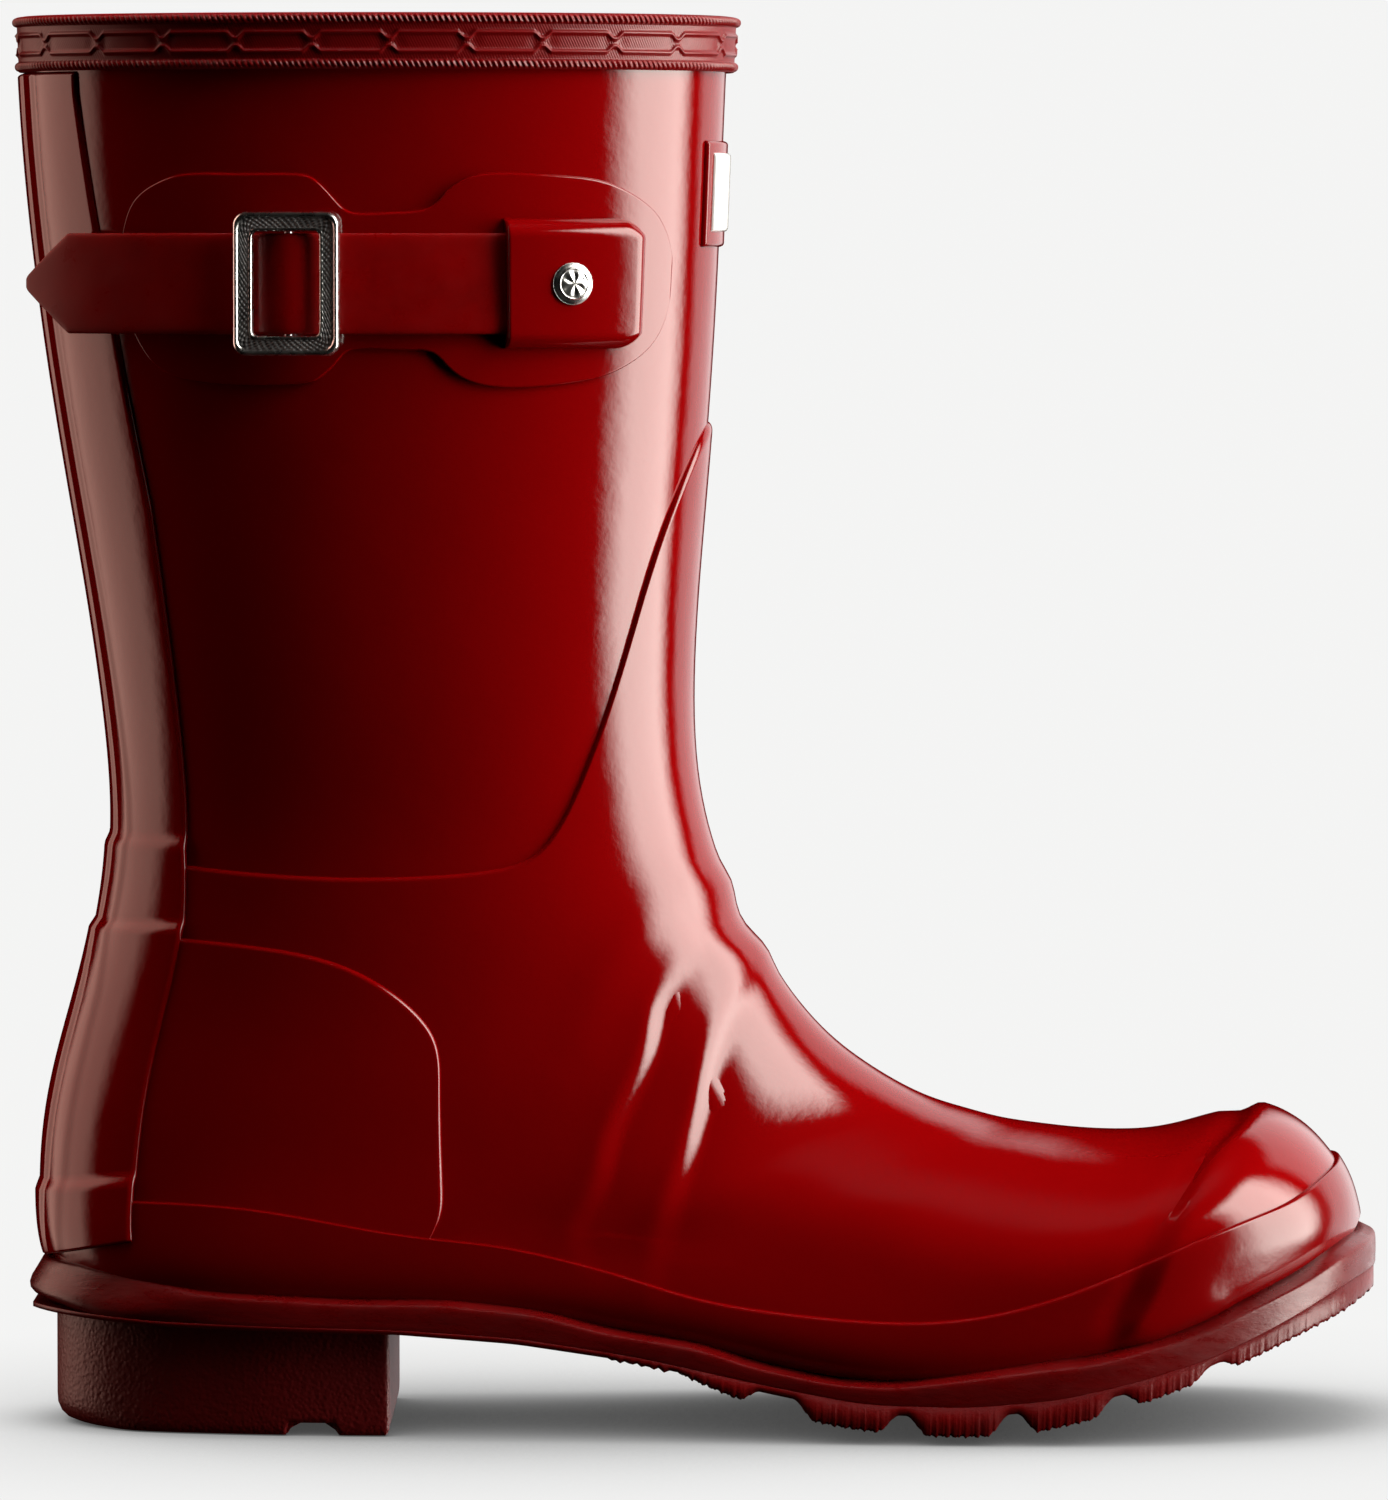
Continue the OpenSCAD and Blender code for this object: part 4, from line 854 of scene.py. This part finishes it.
def heel():
    """The block under the heel: rows of the plan outline at rising heights, closed above and below."""
    front_x, n = -61.0, 420
    edge = edge_p - edge_n * 5.5
    edge = edge[edge[:, 0] < front_x - .2]
    outer, inner = edge[edge[:, 1] < MID_Y], edge[edge[:, 1] >= MID_Y]
    bend = np.vstack([outer[np.argsort(-outer[:, 0])], inner[np.argsort(inner[:, 0])]])
    bend = np.vstack([[front_x, bend[0, 1]], bend, [front_x, bend[-1, 1]]])
    ring = even_loop(np.vstack([bend, np.linspace(bend[-1], bend[0], 40)[1:-1]]), n)
    for _ in range(3):
        ring = (np.roll(ring, 1, 0) + 2 * ring + np.roll(ring, -1, 0)) / 4
    mid = np.array([-95, MID_Y])
    normal = unit(np.roll(ring, -1, 0) - np.roll(ring, 1, 0))
    normal = np.stack([normal[:, 1], -normal[:, 0]], -1)
    normal *= np.sign(((ring - mid) * normal).sum())
    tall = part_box("heel_block")[1].z / MM + .8
    back = step(-ring[:, 0], 112, 129)
    walls = []
    foot_edge = [(0, 1.2), (.01, .6), (.04, .22), (.09, .05), (.16, 0)]          # share of the height, inset
    for share, inset in foot_edge + [(k, 0) for k in np.linspace(.24, 1, 12)]:
        z = share * tall
        scoop = back * 4.5 * (1 - math.sqrt(1 - (1 - min(z / 5.0, 1)) ** 2))
        walls.append(np.column_stack([ring - normal * (inset + scoop)[:, None], np.full(n, z)]))
    sole = walls[0][:, :2] - mid
    under = [np.column_stack([mid + sole * k, np.zeros(n)]) for k in (.02, .2, .45, .7, .9)]
    roof = [np.column_stack([mid + (ring - mid) * k, np.full(n, tall)]) for k in (.7, .02)]
    points = np.stack(under + walls + roof)
    notch = (points[..., 0] > -81.5) & (points[..., 0] < -71.5) & (points[..., 2] < 2.6)
    points[..., 2] = np.where(notch, 2.6, points[..., 2])
    index = np.arange(points.shape[0] * n).reshape(-1, n)
    faces = clean(grid_quads(index, False, True))
    faces += [index[0][::-1].tolist(), index[-1].tolist()]
    return make("visual_heel_block", points, faces, M["heel"])


stands_for(heel(), "heel_rubber", "heel_block")

# ---------------------------------------------------------------- strap, buckle, rivet
# u and height of the strap: flat on the patch, over the buckle's bar, then its free end.
ROUTE = [[u, 2.5] for u in range(52, 95, 6)]
ROUTE += [[98, 3.0], [101, 4.6], [104, 5.4], [107, 4.6], [110, 3.2], [112, 3.0], [114.4, 3.0], [120, 3.9],
          [127, 4.0], [135, 4.2], [143, 5.0], [151, 6.3], [158, 7.7]]
BUCKLE_U, BUCKLE_LIFT = 104, 4.6
RIVET_U, RIVET_LIFT = 57.5, 5.45


def leg_frame(u):
    """Point of the leg at the strap's height and the level direction out of it."""
    p, n = skin(u, STRAP_V)[..., :2], outward(u, STRAP_V)[..., :2]
    return p, unit(n)


def strap():
    """The whole strap in one piece, with a rounded section and a pointed end."""
    uh = open_route(ROUTE)(np.linspace(0, 1, 900))
    p, n = leg_frame(uh[:, 0])
    line = p + n * uh[:, 1:]
    run = distances(line)
    goal = np.linspace(0, run[-1], 301)
    line = np.column_stack([np.interp(goal, run, line[:, k]) for k in (0, 1)])
    tangent = unit(np.gradient(line, axis=0))
    side = np.stack([tangent[:, 1], -tangent[:, 0]], -1)
    if (side[100] * n[300]).sum() < 0:
        side = -side
    from_tip = run[-1] - goal
    wide = np.minimum(10.0, 1.0 + from_tip * .74) - 1.2 * (1 - edge_profile(from_tip, 1.2))
    thin = 0.8 * (0.25 + .75 * edge_profile(from_tip, .8)) * (0.25 + .75 * edge_profile(goal, .8))
    a = np.linspace(0, 2 * np.pi, 40, endpoint=False)
    up, out = np.cos(a), np.sin(a)
    up = np.sign(up) * np.abs(up) ** .18 * wide[:, None]
    out = np.sign(out) * np.abs(out) ** .5 * thin[:, None]
    centre = np.column_stack([line, np.full(len(line), STRAP_Z)])
    points = centre[:, None, :] + np.stack([side[:, None, 0] * out, side[:, None, 1] * out, up], -1)
    nr, nc = points.shape[:2]
    index = np.arange(nr * nc).reshape(nr, nc)
    faces = clean(grid_quads(index, False, True)) + [index[0].tolist()[::-1], index[-1].tolist()]
    return make("visual_strap", points, faces, M["strap"])


strap_piece = strap()
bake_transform(strap_piece)
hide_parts("strap", "strap_tail")


def placed(points, u, lift):
    """Local points (x along the strap, y up, z out) moved onto the leg at u."""
    p, n = leg_frame(np.array(float(u)))
    along, out = np.array([-n[1], n[0], 0]), np.array([n[0], n[1], 0])
    base = np.array([p[0], p[1], STRAP_Z]) + out * lift
    return base + points[..., :1] * along + points[..., 1:2] * np.array([0, 0, 1.]) + points[..., 2:3] * out


def rounded_outline(w, h, r, n=360):
    """Points around a rounded rectangle, evenly spaced."""
    pts = []
    for cx, cy, a0 in ((w / 2 - r, h / 2 - r, 0), (-w / 2 + r, h / 2 - r, 90), (-w / 2 + r, -h / 2 + r, 180),
                       (w / 2 - r, -h / 2 + r, 270)):
        a = np.radians(a0 + np.linspace(0, 90, 24))
        pts.append(np.column_stack([cx + r * np.cos(a), cy + r * np.sin(a)]))
    return even_loop(np.vstack(pts), n)


def height_of(node_name):
    low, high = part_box(node_name)
    return (high.z - low.z) / MM


def buckle():
    """The frame: bright rims, and between them a dark face with a fine even pattern."""
    wide, tall, rail, n = 21.2, height_of("buckle_frame"), 3.9, 720
    outer = rounded_outline(wide, tall, 2.6, n)
    inner = rounded_outline(wide - 2 * rail, tall - 2 * rail, 1.1, n)
    # Share of the way across the rail and height, from the outer edge inwards and back underneath.
    profile = [(0, .5), (0, 1.5), (.02, 1.85), (.06, 2.1), (.12, 2.25), (.19, 2.2), (.23, 2.0), (.26, 1.85)]
    profile += [(k, 1.85) for k in np.linspace(.3, .78, 22)]
    profile += [(.81, 1.9), (.85, 2.0), (.91, 2.0), (.96, 1.85), (1.0, 1.5), (1.0, .5), (.96, .1), (.5, 0),
                (.04, .1)]
    rows = []
    waves = np.cos(2 * np.pi * 64 * np.arange(n) / n)
    for k, z in profile:
        pattern = .10 * np.cos(4 * np.pi * (k - .3) / .48) if .29 < k < .79 else 0
        rows.append(np.column_stack([outer * (1 - k) + inner * k, z + pattern * waves]))
    points = placed(np.stack(rows), BUCKLE_U, BUCKLE_LIFT)
    index = np.arange(points.shape[0] * n).reshape(-1, n)
    o = make("visual_buckle_frame", points, clean(grid_quads(index, True, True), False), M["chrome"])
    o.data.materials.append(M["gun"])
    dark = [.25 < k < .80 and z > 1.5 for k, z in profile]
    o.data.polygons.foreach_set("material_index", np.repeat(np.array(dark, np.int32), n))
    return o


stands_for(buckle(), "buckle_metal", "buckle_frame", body="buckle")


def rivet():
    """The domed head, with six plain petals in a ring."""
    r = height_of("strap_rivet_cap") / 2
    k = np.concatenate([[0], np.linspace(.04, .93, 48), [.96, .985, 1.0, 1.0, .96]])
    a = np.linspace(0, 2 * np.pi, 160, endpoint=False)
    dome = 1.75 * np.sqrt(np.clip(1 - (k * .93) ** 2, 0, 1)) - .45
    dome[-3:] = [.35, .0, -.2]
    petals = .16 * np.exp(-((k[:, None] - .42) / .2) ** 2) * np.cos(6 * a[None])
    ring = .14 * np.exp(-((k - .72) / .035) ** 2)
    z = dome[:, None] + petals + ring[:, None]
    x, y = r * k[:, None] * np.cos(a), r * k[:, None] * np.sin(a)
    points = placed(np.stack([x, y, z], -1)[1:], RIVET_U, RIVET_LIFT)
    ends = placed(np.array([[0, 0, dome[0]], [0, 0, -.2]]), RIVET_U, RIVET_LIFT)
    nr, nc = points.shape[:2]
    index = np.arange(nr * nc).reshape(nr, nc)
    faces = clean(grid_quads(index, False, True), True)
    faces += [[nr * nc, int(p), int(q)] for p, q in zip(index[0], np.roll(index[0], -1))]
    faces += [[nr * nc + 1, int(q), int(p)] for p, q in zip(index[-1], np.roll(index[-1], -1))]
    return make("visual_rivet_cap", np.vstack([points.reshape(-1, 3), ends]), faces, M["chrome"])


stands_for(rivet(), "chrome", "strap_rivet_cap")

# ---------------------------------------------------------------- footbed
FLOOR = [[-126, 36], [-118, 31.5], [-108, 29.6], [-85, 28.9], [-60, 28.3], [-36, 26.9], [-12, 23.4],
         [12, 18.4], [34, 14.5], [54, 13.8], [72, 15.3], [88, 18.8], [102, 22.8], [113, 27.3], [122, 32]]


def insole(name, inset, low, high, x0, x1, material):
    """A flat layer inside the boot, with its edge inset from the sole's, over heights of FLOOR."""
    edge = edge_p - edge_n * inset
    xs = np.linspace(x0, x1, 130)
    lo_y, hi_y = side_y(edge, OUTER, xs), side_y(edge, INNER, xs)
    ends = np.maximum(edge_profile(xs - x0, 20), .02 ** .5) * np.maximum(edge_profile(x1 - xs, 20), .02 ** .5)
    mid = (lo_y + hi_y) / 2
    lo_y, hi_y = mid + (lo_y - mid) * ends, mid + (hi_y - mid) * ends
    f = np.concatenate([[0, .01, .03], np.linspace(.06, .94, 30), [.97, .99, 1]])[None]
    y = lo_y[:, None] * (1 - f) + hi_y[:, None] * f
    z = smooth_list(FLOOR, xs)[:, None] + 0 * f + low
    x = np.broadcast_to(xs[:, None], y.shape)
    from_edge = np.minimum(f, 1 - f) * (hi_y - lo_y)[:, None]
    top = np.stack([x, y, z + (high - low) * edge_profile(from_edge, 1.0)], -1)
    bottom = np.stack([x, y, z], -1)
    nr, nc = y.shape
    a = np.arange(nr * nc).reshape(nr, nc)
    b = a.copy()
    b[:, 1:-1] = nr * nc + np.arange(nr * (nc - 2)).reshape(nr, nc - 2)
    faces = clean(grid_quads(a), True) + clean(grid_quads(b), False)
    faces += clean(grid_quads(np.stack([a[0], b[0]]))) + clean(grid_quads(np.stack([b[-1], a[-1]])))
    return make(name, np.vstack([top.reshape(-1, 3), bottom[:, 1:-1].reshape(-1, 3)]), faces, material)


stands_for(insole("visual_footbed", 15.7, 2.4, 6.4, -119.5, 113.5, M["foam"]), "footbed_foam", "footbed",
           body="footbed_unit")
stands_for(insole("visual_footbed_cover", 15.7, 6.5, 7.5, -119.5, 113.5, M["cover"]), "footbed_textile",
           "footbed_cover", body="footbed_unit")

# ---------------------------------------------------------------- stage, light, camera
scene = bpy.context.scene
scene.view_settings.view_transform = "Standard"


def emission(name):
    """A material that only glows."""
    m = bpy.data.materials.new(name)
    m.use_nodes = True
    nt = m.node_tree
    nt.nodes.clear()
    out = nt.nodes.new("ShaderNodeOutputMaterial")
    e = nt.nodes.new("ShaderNodeEmission")
    nt.links.new(e.outputs[0], out.inputs[0])
    return m, nt, e


def panel(name, half_wide, half_tall, material):
    """A flat rectangle of the stage."""
    mesh = bpy.data.meshes.new(name)
    w, h = half_wide, half_tall
    mesh.from_pydata([(-w, -h, 0), (w, -h, 0), (w, h, 0), (-w, h, 0)], [], [[0, 1, 2, 3]])
    o = bpy.data.objects.new(name, mesh)
    scene.collection.objects.link(o)
    o.data.materials.append(material)
    return o


def floor(pale):
    """A pale table top that glows evenly, with a painted contact shadow darkening it softly around the foot
    of the boot.
    """
    m, nt, e = emission("floor_pale_painted_shadow")
    # Painted contact shadow: ambient occlusion near the boot darkens the floor's own glow.
    near = node(nt, "ShaderNodeAmbientOcclusion", Distance=0.13)
    near.samples = 16
    painted_shadow_levels = ((0, .06), (.5, .42), (.8, .86), (1, 1))
    stops = [(open_share, rgba(*[c * light for c in pale])) for open_share, light in painted_shadow_levels]
    nt.links.new(ramp(nt, near.outputs["AO"], stops), e.inputs[0])
    o = panel("stage_floor", 9, 9, m)
    o.location.z = -.0002
    for ray in ("diffuse", "glossy", "transmission", "shadow"):
        setattr(o, "visible_" + ray, False)


def arithmetic(nt, operation, *terms):
    """A maths node over sockets and numbers."""
    n = node(nt, "ShaderNodeMath", operation=operation)
    for socket, term in zip(n.inputs, terms):
        if isinstance(term, bpy.types.NodeSocket):
            nt.links.new(term, socket)
        else:
            socket.default_value = term
    return n.outputs[0]


def glow(name, azimuth, height, wide, tall, radiance, soft, lean=0.0, colour=(1, 1, 1)):
    """A soft-edged diffuser two metres from the boot, given by the angles it fills as seen from the boot."""
    m, nt, e = emission(name)
    e.inputs[0].default_value = rgba(*colour)
    split = node(nt, "ShaderNodeSeparateXYZ")
    nt.links.new(node(nt, "ShaderNodeTexCoord").outputs["Generated"], split.inputs[0])
    power = radiance
    for axis, width in enumerate(soft):
        away = arithmetic(nt, "ABSOLUTE", arithmetic(nt, "SUBTRACT", split.outputs[axis], 0.5))
        fade = node(nt, "ShaderNodeMapRange", **{"From Min": 0.5, "From Max": 0.5 - width})
        fade.interpolation_type = "SMOOTHSTEP"
        nt.links.new(away, fade.inputs["Value"])
        power = arithmetic(nt, "MULTIPLY", fade.outputs["Result"], power)
    nt.links.new(power, e.inputs[1])
    az, el = math.radians(azimuth), math.radians(height)
    d = Vector((math.sin(az) * math.cos(el), -math.cos(az) * math.cos(el), math.sin(el)))
    across = Vector((math.cos(az), math.sin(az), 0))
    up = d.cross(across).normalized()
    turn = math.radians(lean)
    across, up = (across * math.cos(turn) + up * math.sin(turn),
                  up * math.cos(turn) - across * math.sin(turn))
    centre = Vector((0, 0, .13)) + 2 * d
    o = panel(name, 2 * math.tan(math.radians(wide / 2)), 2 * math.tan(math.radians(tall / 2)), m)
    back = across.cross(up)
    o.matrix_world = Matrix(((across.x, up.x, back.x, centre.x), (across.y, up.y, back.y, centre.y),
                             (across.z, up.z, back.z, centre.z), (0, 0, 0, 1)))
    o.visible_camera = False
    o.visible_shadow = False
    return o


PALE = (.905, .905, .9)
floor(PALE)
glow("stage_right", 80, 15, 56, 88, 11.0, (.32, .17), lean=17, colour=(1, .97, .9))
glow("stage_back", 142, 15, 56, 76, 1.3, (.2, .17))
glow("stage_left", -106, 15, 60, 76, 2.1, (.24, .17), colour=(1, .58, .47))
top = glow("stage_top", 0, 89, 50, 50, 14, (.4, .4))
top.visible_glossy = False

world = bpy.data.worlds.new("studio")
scene.world = world
world.use_nodes = True
world.node_tree.nodes["Background"].inputs[0].default_value = rgba(*PALE)
for ray in ("diffuse", "glossy", "transmission"):
    setattr(world.cycles_visibility, ray, False)

camera = bpy.data.cameras.new("camera")
camera.sensor_width = 36
camera.lens = 236.2
camera.clip_end = 50
cam = bpy.data.objects.new("camera", camera)
scene.collection.objects.link(cam)
cam.location = (0, -2.0, 0.24)
cam.rotation_mode = "QUATERNION"
cam.rotation_quaternion = (Vector((0, 0, 0.136)) - cam.location).to_track_quat("-Z", "Y")
scene.camera = cam
